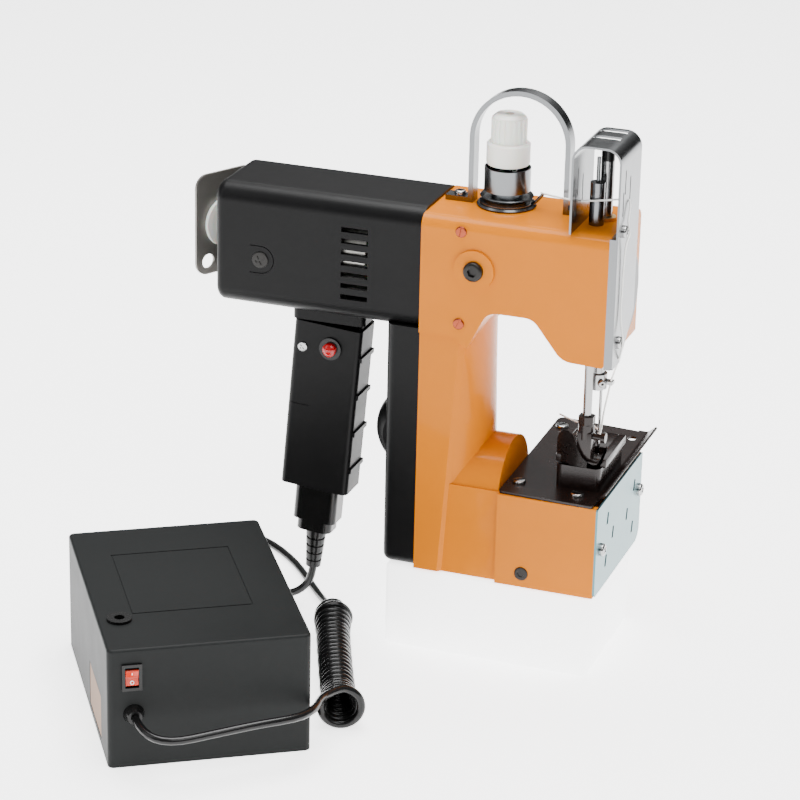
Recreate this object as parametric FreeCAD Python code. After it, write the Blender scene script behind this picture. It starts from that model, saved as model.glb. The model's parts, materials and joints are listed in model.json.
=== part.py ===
import FreeCAD, Part
import math
import os
from FreeCAD import Vector, Rotation, Placement

# Portable bag closer: a pistol-grip motor unit bolted to a C-shaped sewing head, with a
# battery pack on a curly cord. The sizes below are in the machine frame: x = 0 at the joint
# of motor unit and casting, y = 0 on the motor axis, z = 0 at the underside of the casting.
# Every solid is moved at export so that the origin is the inner top of the carrying bail.

os.makedirs("parts", exist_ok=True)

X_AXIS = Vector(1, 0, 0)
Y_AXIS = Vector(0, 1, 0)
Z_AXIS = Vector(0, 0, 1)

# Driving dimensions of the sewing head
HEAD_HALF_DEPTH = 33.0
HEAD_TOP = 220.0
HEAD_END = 110.8
HEAD_WALL = 5.0
ARM_UNDERSIDE = 143.0
COLUMN_TOP = 168.0
BED_START = 51.0
BED_TOP = 56.4
BED_REAR = 61.5
BED_WALL = 4.0
PLATE_THICK = 1.6

# Drive line
SHAFT_Y = 0.0
SHAFT_Z = 185.0
COUNTER_Z = 158.5
SHAFT_R = 4.0
CRANK_THROW = 11.0
CRANK_PIN_R = 2.5
CRANK_X = 84.0
PIN_GAP = 2.7
LOWER_SHAFT_Z = 30.0
MODULE = 1.0
PINION_TEETH = 13
COUNTER_TEETH = 40
SMALL_TEETH = 16
MAIN_TEETH = 37

COUNTER_R = 3.0
ROD_X = 20.0
ROD_THICK = 3.0
ECCENTRICITY = 3.0
LEVER_LENGTH = 14.0

# Needle and presser bars
NEEDLE_OFFSET = 2.4
PRESSER_HIGH = 213.0
NEEDLE_X = 98.2
NEEDLE_Y = 1.5
NEEDLE_BAR_R = 3.85
NEEDLE_BAR_LOW = 117.0
NEEDLE_BAR_HIGH = 255.0
PRESSER_X = 96.0
PRESSER_Y = -9.5
PRESSER_R = 2.6
PRESSER_LOW = 92.0
FIT_GAP = 0.05

# Motor unit
MOTOR_LEFT = -128.4
CAP_SEAM = -106.0
MOTOR_HALF_DEPTH = 30.2
MOTOR_LOW = 148.6
MOTOR_HIGH = 221.7
MOTOR_WALL = 2.6
COVER_LEFT = -21.0
STATOR_R = 27.0
STATOR_BORE = 18.6
ROTOR_R = 18.0

# Grip
GRIP_TILT = 4.5
GRIP_TOP = 148.6
GRIP_LOW = 31.5
GRIP_TOP_X = -62.6
GRIP_WIDTH = 42.5
GRIP_FRONT = -14.0
GRIP_REAR = 11.0
GRIP_WALL = 2.4

# Carrying bail, thread tension unit and thread guard
BAIL_X = 46.5
BAIL_Y = 4.0
BAIL_IN_R = 27.0
BAIL_IN_TOP = 286.0
BAIL_THICK = 3.0
BAIL_WIDTH = 9.0
TENSION_X = 38.6
TENSION_Y = 4.0
GUARD_LEFT = 87.0
GUARD_RIGHT = 115.7
GUARD_TOP = 272.0
GUARD_FRONT = -33.0
GUARD_REAR = 8.0
SHEET = 1.2

# Spool plate on the end cap
SPOOL_TURN = 62.0
SPOOL_THICK = 1.6
SPOOL_EYE = (-11.1, 0.0, 164.0)
SPOOL_EYE_R = 4.5

# Battery pack, on a floor below the underside of the machine
FLOOR_Z = -52.0
PACK_X = -103.1
PACK_Y = -238.3
PACK_TURN = 33.12
PACK_W = 113.6
PACK_D = 159.8
PACK_H = 71.6
PACK_SEAM = 36.6
PACK_WALL = 2.5

# Cord
CORD_R = 2.4
CURL_R = 11.0

ORIGIN = Vector(BAIL_X, BAIL_Y, BAIL_IN_TOP)
saved_nodes = []


def save(name, shape):
    """Export one sub-part, moved so that the origin is at the bail."""
    moved = shape.copy()
    moved.translate(-ORIGIN)
    moved.exportStep("parts/" + name + ".step")
    saved_nodes.append(name)
    print(name, len(shape.Solids), "valid" if shape.isValid() else "INVALID", round(shape.Volume))


def box(x0, x1, y0, y1, z0, z1):
    return Part.makeBox(x1 - x0, y1 - y0, z1 - z0, Vector(x0, y0, z0))


def rod(start, axis, radius, length):
    return Part.makeCylinder(radius, length, start, axis)


def ring(start, axis, outer, inner, length):
    return rod(start, axis, outer, length).cut(rod(start, axis, inner, length))


def group(shapes):
    return Part.makeCompound(shapes)


def join(first, *others):
    """Fuse solids into one and drop the seams between flush faces."""
    return first.fuse(list(others)).removeSplitter()


def round_wire(corners, radii):
    """Closed wire through the corners, each rounded by an arc of its own radius."""
    count = len(corners)
    starts, ends, middles = [], [], []
    for index, corner in enumerate(corners):
        before = (corners[index - 1] - corner).normalize()
        after = (corners[(index + 1) % count] - corner).normalize()
        radius = radii[index]
        half = before.getAngle(after) / 2.0
        reach = radius / math.tan(half)
        starts.append(corner + before * reach)
        ends.append(corner + after * reach)
        bisector = (before + after).normalize()
        middles.append(corner + bisector * (radius / math.sin(half) - radius))
    edges = []
    for index in range(count):
        if radii[index] > 0:
            edges.append(Part.Arc(starts[index], middles[index], ends[index]).toShape())
        following = (index + 1) % count
        if (starts[following] - ends[index]).Length > 1e-6:
            edges.append(Part.LineSegment(ends[index], starts[following]).toShape())
    return Part.Wire(edges)


def slab_xz(points, y0, y1, radii=None):
    """Extrude an outline given in X and Z along Y."""
    corners = [Vector(x, y0, z) for x, z in points]
    rounding = radii or [0] * len(corners)
    return Part.Face(round_wire(corners, rounding)).extrude(Vector(0, y1 - y0, 0))


def slab_yz(points, x0, x1, radii=None):
    """Extrude an outline given in Y and Z along X."""
    corners = [Vector(x0, y, z) for y, z in points]
    rounding = radii or [0] * len(corners)
    return Part.Face(round_wire(corners, rounding)).extrude(Vector(x1 - x0, 0, 0))


def slab_xy(points, z0, z1, radii=None):
    """Extrude an outline given in X and Y along Z."""
    corners = [Vector(x, y, z0) for x, y in points]
    rounding = radii or [0] * len(corners)
    return Part.Face(round_wire(corners, rounding)).extrude(Vector(0, 0, z1 - z0))


def round_box_x(x0, x1, y0, y1, z0, z1, radius):
    """Bar along X whose four long edges are rounded."""
    return slab_yz([(y0, z0), (y1, z0), (y1, z1), (y0, z1)], x0, x1, [radius] * 4)


def round_box_z(x0, x1, y0, y1, z0, z1, radius):
    """Bar along Z whose four upright edges are rounded."""
    return slab_xy([(x0, y0), (x1, y0), (x1, y1), (x0, y1)], z0, z1, [radius] * 4)


def screw(seat, direction, head_r, head_h, shank_r, shank_l):
    """Cheese-head screw: the seat is under the head, direction points out of the head."""
    outward = Vector(direction).normalize()
    head = rod(seat, outward, head_r, head_h)
    rim = [edge for edge in head.Edges if (edge.CenterOfMass - seat).Length > head_h * 0.6
           and edge.Curve.TypeId == "Part::GeomCircle"]
    head = head.makeFillet(min(head_h, head_r) * 0.4, rim)
    socket = rod(seat + outward * head_h * 0.45, outward, head_r * 0.42, head_h)
    return head.cut(socket).fuse(rod(seat, outward * -1, shank_r, shank_l))



def holes(seats, direction, radius, depth):
    inward = Vector(direction) * -1
    return [rod(Vector(*seat), inward, radius, depth) for seat in seats]


def revolve_z(x, y, profile):
    """Turn an outline of (radius, height) pairs about a vertical line."""
    points = [Vector(x + radius, y, z) for radius, z in profile]
    wire = Part.makePolygon(points + [points[0]])
    return Part.Face(wire).revolve(Vector(x, y, 0), Z_AXIS, 360)


def gear(teeth, x0, x1, y, z, bore, phase):
    """Spur gear along X with straight-flanked teeth and free backlash."""
    pitch_r = MODULE * teeth / 2.0
    root_r = pitch_r - 1.15 * MODULE
    tip_r = pitch_r + 0.8 * MODULE
    step = 2 * math.pi / teeth
    points = []
    for tooth in range(teeth):
        centre = phase + tooth * step
        for radius, share in ((root_r, -0.26), (tip_r, -0.11), (tip_r, 0.11), (root_r, 0.26)):
            angle = centre + share * step
            points.append((y + radius * math.cos(angle), z + radius * math.sin(angle)))
    body = slab_yz(points, x0, x1)
    return body.cut(rod(Vector(x0, y, z), X_AXIS, bore, x1 - x0))


def turned(shape, angle, centre, axis=X_AXIS):
    copy = shape.copy()
    copy.rotate(centre, axis, angle)
    return copy


# ---------------------------------------------------------------- sewing head casting

BAIL_SCREWS = [(10.5, BAIL_Y, HEAD_TOP + 3), (82.0, BAIL_Y, HEAD_TOP + 3)]
GUARD_SCREWS = [(GUARD_RIGHT, -22.0, 222.0), (GUARD_RIGHT, -22.0, 156.0)]
THROAT_SCREWS = [(58.5, -15.3, BED_TOP + PLATE_THICK), (95.5, -20.5, BED_TOP + PLATE_THICK),
                 (56.5, 76.8, BED_TOP + PLATE_THICK)]
END_SCREWS = [(HEAD_END, 56.0, 34.0), (HEAD_END, -23.4, 27.6)]
COPPER_SCREWS = [(24.0, -HEAD_HALF_DEPTH, 213.0), (24.0, -HEAD_HALF_DEPTH, 157.7)]
SPOOL_SCREWS = [(MOTOR_LEFT - 1.6, 24.2, 203.0), (MOTOR_LEFT - 1.6, 24.2, 167.0)]
BOSS_CENTRE = Vector(32.4, -HEAD_HALF_DEPTH, 191.0)
BASE_SCREW = Vector(67.3, -HEAD_HALF_DEPTH - 0.7, 8.6)


def column_section(z, crease, nose, half_depth, inset=0.0, back=0.0):
    """Plan outline of the column: flat sides, a narrow bevel and a round nose."""
    side = half_depth - inset
    points = [Vector(back, -side, z), Vector(crease - 3.0 - inset, -side, z),
              Vector(crease - inset, -side + 2.5, z)]
    mirror = [Vector(point.x, -point.y, z) for point in reversed(points)]
    lines = [Part.LineSegment(points[0], points[1]).toShape(),
             Part.LineSegment(points[1], points[2]).toShape(),
             Part.Arc(points[2], Vector(nose - inset, 0, z), mirror[0]).toShape(),
             Part.LineSegment(mirror[0], mirror[1]).toShape(),
             Part.LineSegment(mirror[1], mirror[2]).toShape(),
             Part.LineSegment(mirror[2], points[0]).toShape()]
    return Part.Wire(lines)


def column_solid(inset=0.0, back=0.0, low=0.0, high=COLUMN_TOP):
    sections = []
    for z in (low, high):
        share = z / COLUMN_TOP
        crease = 17.5 + 11.0 * share
        nose = 40.0 - 6.5 * share
        depth = HEAD_HALF_DEPTH - 1.0 - 1.0 * share
        sections.append(column_section(z, crease, nose, depth, inset, back))
    return Part.makeLoft(sections, True, True)


def body_casting():
    d = HEAD_HALF_DEPTH
    arm_points = [(0, 149), (20, 149), (29, 143), (41, COLUMN_TOP - 1.2), (68, COLUMN_TOP - 1.2),
                  (86, ARM_UNDERSIDE + 1), (HEAD_END, ARM_UNDERSIDE), (HEAD_END, HEAD_TOP),
                  (0, HEAD_TOP)]
    arm = slab_xz(arm_points, -d, d, [0, 0, 0, 9, 10, 12, 2, 0, 0])
    long_top = [edge for edge in arm.Edges if abs(edge.CenterOfMass.y) > d - 0.1
                and edge.CenterOfMass.z > HEAD_TOP - 1 and edge.Length > 50]
    arm = arm.makeFillet(7.0, long_top)
    barrel = rod(Vector(20, 0, 50), X_AXIS, 29.5, BED_START - 20.8)
    ledge = box(14, BED_START + 1, -30.0, 30.0, 0, BED_TOP)
    bed = box(BED_START, HEAD_END, -d - 0.7, BED_REAR, 0, BED_TOP)
    rear_lug = box(BED_START, BED_START + 24, BED_REAR - 1, 86, 30, BED_TOP)
    boss = rod(BOSS_CENTRE + Vector(0, 1.0, 0), Vector(0, -1, 0), 12.0, 2.6)
    solid = join(column_solid(), arm, barrel, ledge, bed, rear_lug, boss)

    w = HEAD_WALL
    arm_room = box(3, HEAD_END - 4, -d + w, d - w, 174, HEAD_TOP - w)
    face_room = box(74, HEAD_END - 4, -d + w, d - w, 164, 180)
    nose_room = box(88, HEAD_END - 4, -d + w, d - w, 149, 180)
    column_room = column_solid(w, 3, 4, 166)
    gear_room = rod(Vector(3, 0, COUNTER_Z), X_AXIS, 23.5, 21)
    bed_room = box(BED_START + BED_WALL, HEAD_END, -d + BED_WALL, BED_REAR - BED_WALL, 5, BED_TOP)
    tunnel = box(20, BED_START + 10, -20, 20, 12, 48)
    rear_opening = box(-1, 4, -20, 20, 20, 200)
    solid = solid.cut([arm_room, face_room, nose_room, column_room, gear_room, bed_room,
                       tunnel, rear_opening])
    lugs = [rod(Vector(58.5, -15.3, 30), Z_AXIS, 5.5, BED_TOP - 30),
            rod(Vector(95.5, -20.5, 5), Z_AXIS, 5.5, BED_TOP - 5),
            rod(Vector(HEAD_END - 14, 56.0, 34.0), X_AXIS, 5.0, 14),
            rod(Vector(HEAD_END - 14, -23.4, 27.6), X_AXIS, 5.0, 14)]
    lug_roots = [box(BED_START, 58.5, -18, -12.6, 30, BED_TOP),
                 box(HEAD_END - 14, HEAD_END, 50, BED_REAR - 1, 30, 38),
                 box(HEAD_END - 14, HEAD_END, -d + 1, -23.4, 24, 31),
                 box(93.5, 97.5, -d + 1, -20.5, 5, BED_TOP)]
    shaft_wall = box(24, 30, -d + 2, d - 2, 172, HEAD_TOP - 2)
    front_wall = box(74, 80, -d + 2, d - 2, 162, HEAD_TOP - 2)
    lower_wall = box(46, BED_START + BED_WALL, -22, 22, 10, 50)
    solid = solid.fuse(lugs + lug_roots + [shaft_wall, front_wall, lower_wall])

    cuts = [rod(Vector(20, SHAFT_Y, SHAFT_Z), X_AXIS, 9.5, 64),
            rod(Vector(40, 0, LOWER_SHAFT_Z), X_AXIS, 7.0, 20),
            rod(Vector(NEEDLE_X, NEEDLE_Y, 130), Z_AXIS, 6.0, 100),
            rod(Vector(PRESSER_X, PRESSER_Y, 130), Z_AXIS, 4.3, 100),
            rod(Vector(TENSION_X, TENSION_Y, 205), Z_AXIS, 3.0, 30)]
    cuts += holes(COPPER_SCREWS, (0, -1, 0), 2.0, 6)
    cuts += holes([(BOSS_CENTRE.x, BOSS_CENTRE.y - 1.6, BOSS_CENTRE.z)], (0, -1, 0), 3.0, 10)
    cuts += holes([tuple(BASE_SCREW)], (0, -1, 0), 2.5, 6)
    cuts += holes([(x, y, HEAD_TOP + 2) for x, y, _ in BAIL_SCREWS], (0, 0, 1), 2.0, 12)
    cuts += holes([(HEAD_END + 0.2, y, z) for _, y, z in GUARD_SCREWS[1:]], (1, 0, 0), 2.0, 8)
    cuts += holes([(x, y, BED_TOP) for x, y, _ in THROAT_SCREWS], (0, 0, 1), 2.0, 12)
    cuts += holes(END_SCREWS, (1, 0, 0), 2.0, 10)
    return solid.cut(cuts)


# ---------------------------------------------------------------- motor unit

VENT_PITCH = 6.8
VENT_LOW = 163.0
VENT_COUNT = 7


def rear_cover_outline():
    return [(COVER_LEFT, 0), (0, 0), (0, MOTOR_LOW + 2), (COVER_LEFT, MOTOR_LOW + 2)]


def motor_housing():
    m = MOTOR_HALF_DEPTH
    outer = round_box_x(CAP_SEAM, 0, -m, m, MOTOR_LOW, MOTOR_HIGH, 10)
    cover = slab_xz(rear_cover_outline(), -31, 31, [5, 0, 0, 0])
    corner_edges = [edge for edge in cover.Edges if abs(edge.CenterOfMass.x - COVER_LEFT) < 0.1
                    and edge.Length > 100]
    cover = cover.makeFillet(6.0, corner_edges)
    bulge = Part.makeSphere(26.0, Vector(COVER_LEFT + 14.5, -6, 80))
    bulge = bulge.common(box(-60, COVER_LEFT + 2, -26, 22, 50, 110))
    neck = round_box_z(-85.5, -40.5, -14.5, 12, 139.5, MOTOR_LOW + 2, 4)
    solid = join(outer, cover, bulge, neck)
    w = MOTOR_WALL
    inside = round_box_x(CAP_SEAM, -4, -m + w, m - w, MOTOR_LOW + w, MOTOR_HIGH - w, 8)
    cover_room = box(COVER_LEFT + 3, 0, -27, 27, 4, 140)
    wire_hole = box(-72, -56, -6, 6, GRIP_TOP - 8, MOTOR_LOW + 4)
    cuts = [inside, cover_room, wire_hole, grip_place(grip_blank()),
            rod(Vector(-5, 0, SHAFT_Z), X_AXIS, 11.0, 6)]
    for index in range(VENT_COUNT):
        z = VENT_LOW + index * VENT_PITCH
        cuts.append(box(-49.5, -33.0, -m - 1, -m + w + 1, z - 1.5, z + 1.5))
        cuts.append(box(-49.5, -33.0, m - w - 1, m + 1, z - 1.5, z + 1.5))
    cuts.append(cap_tongue(0.5, 1.0))
    lug = rod(CAP_BOSS + Vector(0, TONGUE_THICK, 0), Y_AXIS, 4.5, 7)
    return solid.cut(cuts).fuse(lug).cut(rod(CAP_BOSS, Y_AXIS, 2.0, 9))


CAP_BOSS = Vector(-99.5, -MOTOR_HALF_DEPTH, 178.5)
TONGUE_THICK = 1.6


def cap_tongue(grow=0.0, proud=0.0):
    """D-shaped tongue of the end cap that lies in a recess of the housing's front."""
    radius = 8.0 + grow
    start = CAP_BOSS + Vector(0, -proud, 0)
    thick = TONGUE_THICK + proud
    nose = rod(start, Y_AXIS, radius, thick)
    root = box(CAP_SEAM - 2, CAP_BOSS.x, start.y, start.y + thick, CAP_BOSS.z - radius,
               CAP_BOSS.z + radius)
    return join(root, nose)


def motor_end_cap():
    m = MOTOR_HALF_DEPTH
    outer = round_box_x(MOTOR_LEFT, CAP_SEAM, -m, m, MOTOR_LOW, MOTOR_HIGH, 10)
    end_edges = [edge for edge in outer.Edges if abs(edge.CenterOfMass.x - MOTOR_LEFT) < 0.5]
    outer = outer.makeFillet(5.0, end_edges)
    w = MOTOR_WALL
    inside = round_box_x(MOTOR_LEFT + 4, CAP_SEAM, -m + w, m - w, MOTOR_LOW + w,
                         MOTOR_HIGH - w, 8)
    seat = ring(Vector(MOTOR_LEFT + 3, 0, SHAFT_Z), X_AXIS, 14, 11, 11)
    tongue = cap_tongue().cut(rod(CAP_BOSS, Y_AXIS, 2.0, 5))
    cap = join(outer.cut(inside), seat, tongue)
    return cap.cut(holes(SPOOL_SCREWS, (-1, 0, 0), 2.0, 7))


def grip_place(shape):
    """Tilt a shape drawn upright about the top of the grip."""
    copy = shape.copy()
    copy.rotate(Vector(GRIP_TOP_X, 0, 143), Y_AXIS, GRIP_TILT)
    return copy


BUTTON_AT = (-59.5, 123.5)
GRIP_SCREW_AT = (-77.0, 121.0)
RIB_HEIGHTS = (119.0, 95.0, 71.0, 47.0)


def grip_blank(grow=0.0):
    x0 = GRIP_TOP_X - GRIP_WIDTH / 2.0
    x1 = GRIP_TOP_X + GRIP_WIDTH / 2.0
    body = round_box_z(x0 - grow, x1 + grow, GRIP_FRONT - grow, GRIP_REAR + grow,
                       GRIP_LOW - grow, 137, 3.5)
    return body.fuse(grip_throat())


def grip_throat():
    x0 = GRIP_TOP_X - GRIP_WIDTH / 2.0
    x1 = GRIP_TOP_X + GRIP_WIDTH / 2.0
    return round_box_z(x0 + 2.2, x1 - 1.5, GRIP_FRONT + 2.5, GRIP_REAR - 2.0, 136, 147, 3.5)


def grip_shells():
    """The grip is two mouldings that meet in a plane across its depth."""
    split = -2.0
    x0 = GRIP_TOP_X - GRIP_WIDTH / 2.0
    x1 = GRIP_TOP_X + GRIP_WIDTH / 2.0
    w = GRIP_WALL
    blank = grip_blank()
    for z in RIB_HEIGHTS:
        blank = blank.fuse(box(x1 - 1, x1 + 1.2, GRIP_FRONT + 2, GRIP_REAR - 2, z - 1.4, z + 1.4))
    room = round_box_z(x0 + w, x1 - w, GRIP_FRONT + w, GRIP_REAR - w, GRIP_LOW + 3, 150, 2)
    shell = blank.cut(room)
    inlet_hole = box(GRIP_TOP_X - 12, GRIP_TOP_X + 12, -8.5, 8.5, GRIP_LOW - 1, GRIP_LOW + 4)
    button_hole = rod(Vector(BUTTON_AT[0], GRIP_FRONT - 5, BUTTON_AT[1]), Y_AXIS, 5.2, 12)
    screw_hole = rod(Vector(GRIP_SCREW_AT[0], GRIP_FRONT - 5, GRIP_SCREW_AT[1]), Y_AXIS, 1.6, 12)
    seam_line = box(x0 - 1, x0 + 14, GRIP_FRONT - 1, GRIP_FRONT + 0.5, 84.0, 84.6)
    shell = shell.cut([inlet_hole, button_hole, screw_hole, seam_line])
    front = shell.common(box(-120, 0, -40, split, 0, 160))
    rear = shell.common(box(-120, 0, split, 40, 0, 160))
    return grip_place(front), grip_place(rear)


def start_button():
    seat = Vector(BUTTON_AT[0], GRIP_FRONT + 3.0, BUTTON_AT[1])
    stem = rod(seat + Vector(0, 4, 0), Y_AXIS * -1, 3.0, 6.5)
    cap = rod(seat + Vector(0, -2.5, 0), Y_AXIS * -1, 4.1, 3.5)
    dome = Part.makeSphere(5.2, seat + Vector(0, -3.4, 0))
    dome = dome.common(rod(seat + Vector(0, -5.9, 0), Y_AXIS * -1, 4.1, 4))
    return grip_place(join(stem, cap, dome))


def button_collar():
    face = Vector(BUTTON_AT[0], GRIP_FRONT, BUTTON_AT[1])
    flange = rod(face, Y_AXIS * -1, 6.8, 1.4)
    sleeve = rod(face, Y_AXIS, 5.2, 4.0)
    return grip_place(flange.fuse(sleeve).cut(rod(face + Vector(0, -2, 0), Y_AXIS, 4.2, 8)))


def switch_body():
    x, z = BUTTON_AT
    body = box(x - 7, x + 7, GRIP_FRONT + 4.6, GRIP_FRONT + 19, z - 9, z + 9)
    body = body.cut(rod(Vector(x, GRIP_FRONT + 4, z), Y_AXIS, 3.3, 7.5))
    tabs = [box(x - 5 + 7 * side, x - 3.6 + 7 * side, GRIP_FRONT + 8, GRIP_FRONT + 13,
                z - 15, z - 9) for side in (0, 1)]
    return grip_place(body.fuse(tabs))


def inlet_socket():
    x = GRIP_TOP_X
    outer = box(x - 12, x + 12, -8.5, 8.5, GRIP_LOW, GRIP_LOW + 20)
    cavity = box(x - 10.4, x + 10.4, -6.9, 6.9, GRIP_LOW - 1, GRIP_LOW + 16)
    pins = [box(x - 1 + dx, x + 1 + dx, -2, 2, GRIP_LOW + 3, GRIP_LOW + 25) for dx in (-6, 0, 6)]
    return grip_place(outer.cut(cavity).fuse(pins))


def connector():
    x = GRIP_TOP_X
    tongue = box(x - 10.2, x + 10.2, -6.7, 6.7, GRIP_LOW - 1, GRIP_LOW + 14)
    slots = [box(x - 1.3 + dx, x + 1.3 + dx, -2.3, 2.3, GRIP_LOW + 1, GRIP_LOW + 15)
             for dx in (-6, 0, 6)]
    body = round_box_z(x - 13.5, x + 13.5, -9.0, 9.0, GRIP_LOW - 24, GRIP_LOW - 0.4, 4)
    collar = round_box_z(x - 11.0, x + 11.0, -8.6, 8.6, GRIP_LOW - 31, GRIP_LOW - 24, 5)
    return grip_place(body.fuse([tongue, collar]).removeSplitter().cut(slots))


RELIEF_TOP = GRIP_LOW - 31.0
RELIEF_LENGTH = 26.0


def connector_relief():
    x = GRIP_TOP_X
    low = RELIEF_TOP - RELIEF_LENGTH
    cone = Part.makeCone(4.6, 6.4, RELIEF_LENGTH, Vector(x, 0, low), Z_AXIS)
    grooves = [ring(Vector(x, 0, low + 4 + 5 * step), Z_AXIS, 9, 4.2 + 0.3 * step, 1.6)
               for step in range(4)]
    return grip_place(cone.cut(grooves).cut(rod(Vector(x, 0, low - 1), Z_AXIS, CORD_R, 1 + 3)))


def relief_end():
    low = Vector(GRIP_TOP_X, 0, RELIEF_TOP - RELIEF_LENGTH + 3)
    turn = Placement(Vector(), Rotation(Y_AXIS, GRIP_TILT), Vector(GRIP_TOP_X, 0, 143))
    return turn.multVec(low)


def motor_parts():
    start = Vector(-92, 0, SHAFT_Z)
    centre = Vector(0, 0, SHAFT_Z)
    stator = ring(start, X_AXIS, STATOR_R, STATOR_BORE, 56)
    slots = [turned(box(-92, -36, STATOR_BORE - 1, 23.5, SHAFT_Z - 2.2, SHAFT_Z + 2.2),
                    30.0 + 60 * k, centre) for k in range(6)]
    save("motor_stator", stator.cut(slots))
    shaft = rod(Vector(-119, 0, SHAFT_Z), X_AXIS, 4.0, 119 + 11)
    core = rod(Vector(-90, 0, SHAFT_Z), X_AXIS, ROTOR_R, 52)
    grooves = [turned(box(-91, -37, ROTOR_R - 3, ROTOR_R + 2, SHAFT_Z - 1, SHAFT_Z + 1),
                      30 * k, centre) for k in range(12)]
    commutator = rod(Vector(-103, 0, SHAFT_Z), X_AXIS, 10, 11)
    save("motor_rotor", core.cut(grooves).fuse([shaft, commutator]).removeSplitter())
    hub = ring(Vector(-30, 0, SHAFT_Z), X_AXIS, 8, 4.0, 9)
    disc = ring(Vector(-30, 0, SHAFT_Z), X_AXIS, 25, 7.5, 1.5)
    blades = [turned(box(-30, -22, 7.5, 24.5, SHAFT_Z - 0.7, SHAFT_Z + 0.7), 30 * k, centre)
              for k in range(12)]
    save("cooling_fan", hub.fuse([disc] + blades))
    bearings = [ring(Vector(MOTOR_LEFT + 5, 0, SHAFT_Z), X_AXIS, 11, 4.0 + FIT_GAP, 8),
                ring(Vector(-4.5, 0, SHAFT_Z), X_AXIS, 11, 4.0 + FIT_GAP, 4.5)]
    save("motor_bearings", group(bearings))
    save("motor_pinion", gear(PINION_TEETH, 5, 11, 0, SHAFT_Z, 4.0, -math.pi / 2))


# ---------------------------------------------------------------- drive line

def drive_parts():
    centre = Vector(0, SHAFT_Y, SHAFT_Z)
    counter = Vector(0, SHAFT_Y, COUNTER_Z)
    up = math.pi / 2
    large = gear(COUNTER_TEETH, 5, 11, 0, COUNTER_Z, COUNTER_R + FIT_GAP,
                 up + math.pi / COUNTER_TEETH)
    small = gear(SMALL_TEETH, 12.5, 18.5, 0, COUNTER_Z, COUNTER_R + FIT_GAP,
                 up + math.pi / SMALL_TEETH)
    sleeve = ring(counter + Vector(11, 0, 0), X_AXIS, 6.0, COUNTER_R + FIT_GAP, 1.5)
    save("counter_gear", large.fuse([sleeve, small]))
    plate = box(0.3, 3.0, -19.8, 19.8, 141, 199.5)
    plate = plate.cut(rod(centre, X_AXIS, 6.0, 5))
    save("gear_plate", plate.fuse(rod(counter + Vector(0.3, 0, 0), X_AXIS, COUNTER_R, 19)))
    save("main_gear", gear(MAIN_TEETH, 12.5, 18.5, 0, SHAFT_Z, SHAFT_R, -up))
    shaft = rod(centre + Vector(12, 0, 0), X_AXIS, SHAFT_R, CRANK_X - 12)
    web = rod(centre + Vector(CRANK_X, 0, 0), X_AXIS, CRANK_THROW + 5.0, 3.5)
    pin = rod(centre + Vector(CRANK_X + 3.5, 0, CRANK_THROW), X_AXIS, CRANK_PIN_R, 5.0)
    eccentric = rod(centre + Vector(ROD_X, 0, ECCENTRICITY), X_AXIS, 9.0, ROD_THICK)
    save("main_shaft", shaft.fuse([web, pin, eccentric]))
    needle_low = Vector(NEEDLE_X, NEEDLE_Y, ARM_UNDERSIDE - 1)
    needle_high = Vector(NEEDLE_X, NEEDLE_Y, HEAD_TOP - 5)
    presser_low = Vector(PRESSER_X, PRESSER_Y, ARM_UNDERSIDE - 1)
    presser_high = Vector(PRESSER_X, PRESSER_Y, 205)
    lower = Vector(46, 0, LOWER_SHAFT_Z)
    bushes = [ring(centre + Vector(24, 0, 0), X_AXIS, 9.5, SHAFT_R + FIT_GAP, 6),
              ring(centre + Vector(74, 0, 0), X_AXIS, 9.5, SHAFT_R + FIT_GAP, 6),
              ring(lower, X_AXIS, 7.0, SHAFT_R + FIT_GAP, 9),
              ring(needle_low, Z_AXIS, 6.0, NEEDLE_BAR_R + FIT_GAP, 7),
              ring(needle_high, Z_AXIS, 6.0, NEEDLE_BAR_R + FIT_GAP, 7),
              ring(presser_low, Z_AXIS, 4.3, PRESSER_R + FIT_GAP, 7),
              ring(presser_high, Z_AXIS, 4.3, PRESSER_R + FIT_GAP, 6)]
    save("bearing_bushes", group(bushes))

    pin_y = LEVER_LENGTH
    low = LOWER_SHAFT_Z
    eye = ring(centre + Vector(ROD_X, 0, ECCENTRICITY), X_AXIS, 16, 12.8, ROD_THICK)
    stem = box(ROD_X, ROD_X + ROD_THICK, -4, 4, low - 4, SHAFT_Z - 11)
    foot = box(ROD_X, ROD_X + ROD_THICK, -4, pin_y + 6, low - 6, low + 6)
    slot = box(ROD_X - 1, ROD_X + 4, pin_y - 4, pin_y + 4, low - 2.9, low + 2.9)
    save("looper_rod", join(eye, stem, foot).cut(slot))
    lever = rod(Vector(24, 0, low), X_AXIS, 8.0, 5)
    tail = box(24, 29, 4, pin_y + 3, low - 3, low + 3)
    pin = rod(Vector(19.5, pin_y, low), X_AXIS, 2.0, 5)
    shaft = rod(Vector(24, 0, low), X_AXIS, SHAFT_R, 76)
    save("looper_shaft", shaft.fuse([lever, tail, pin]))


# ---------------------------------------------------------------- needle side

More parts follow.
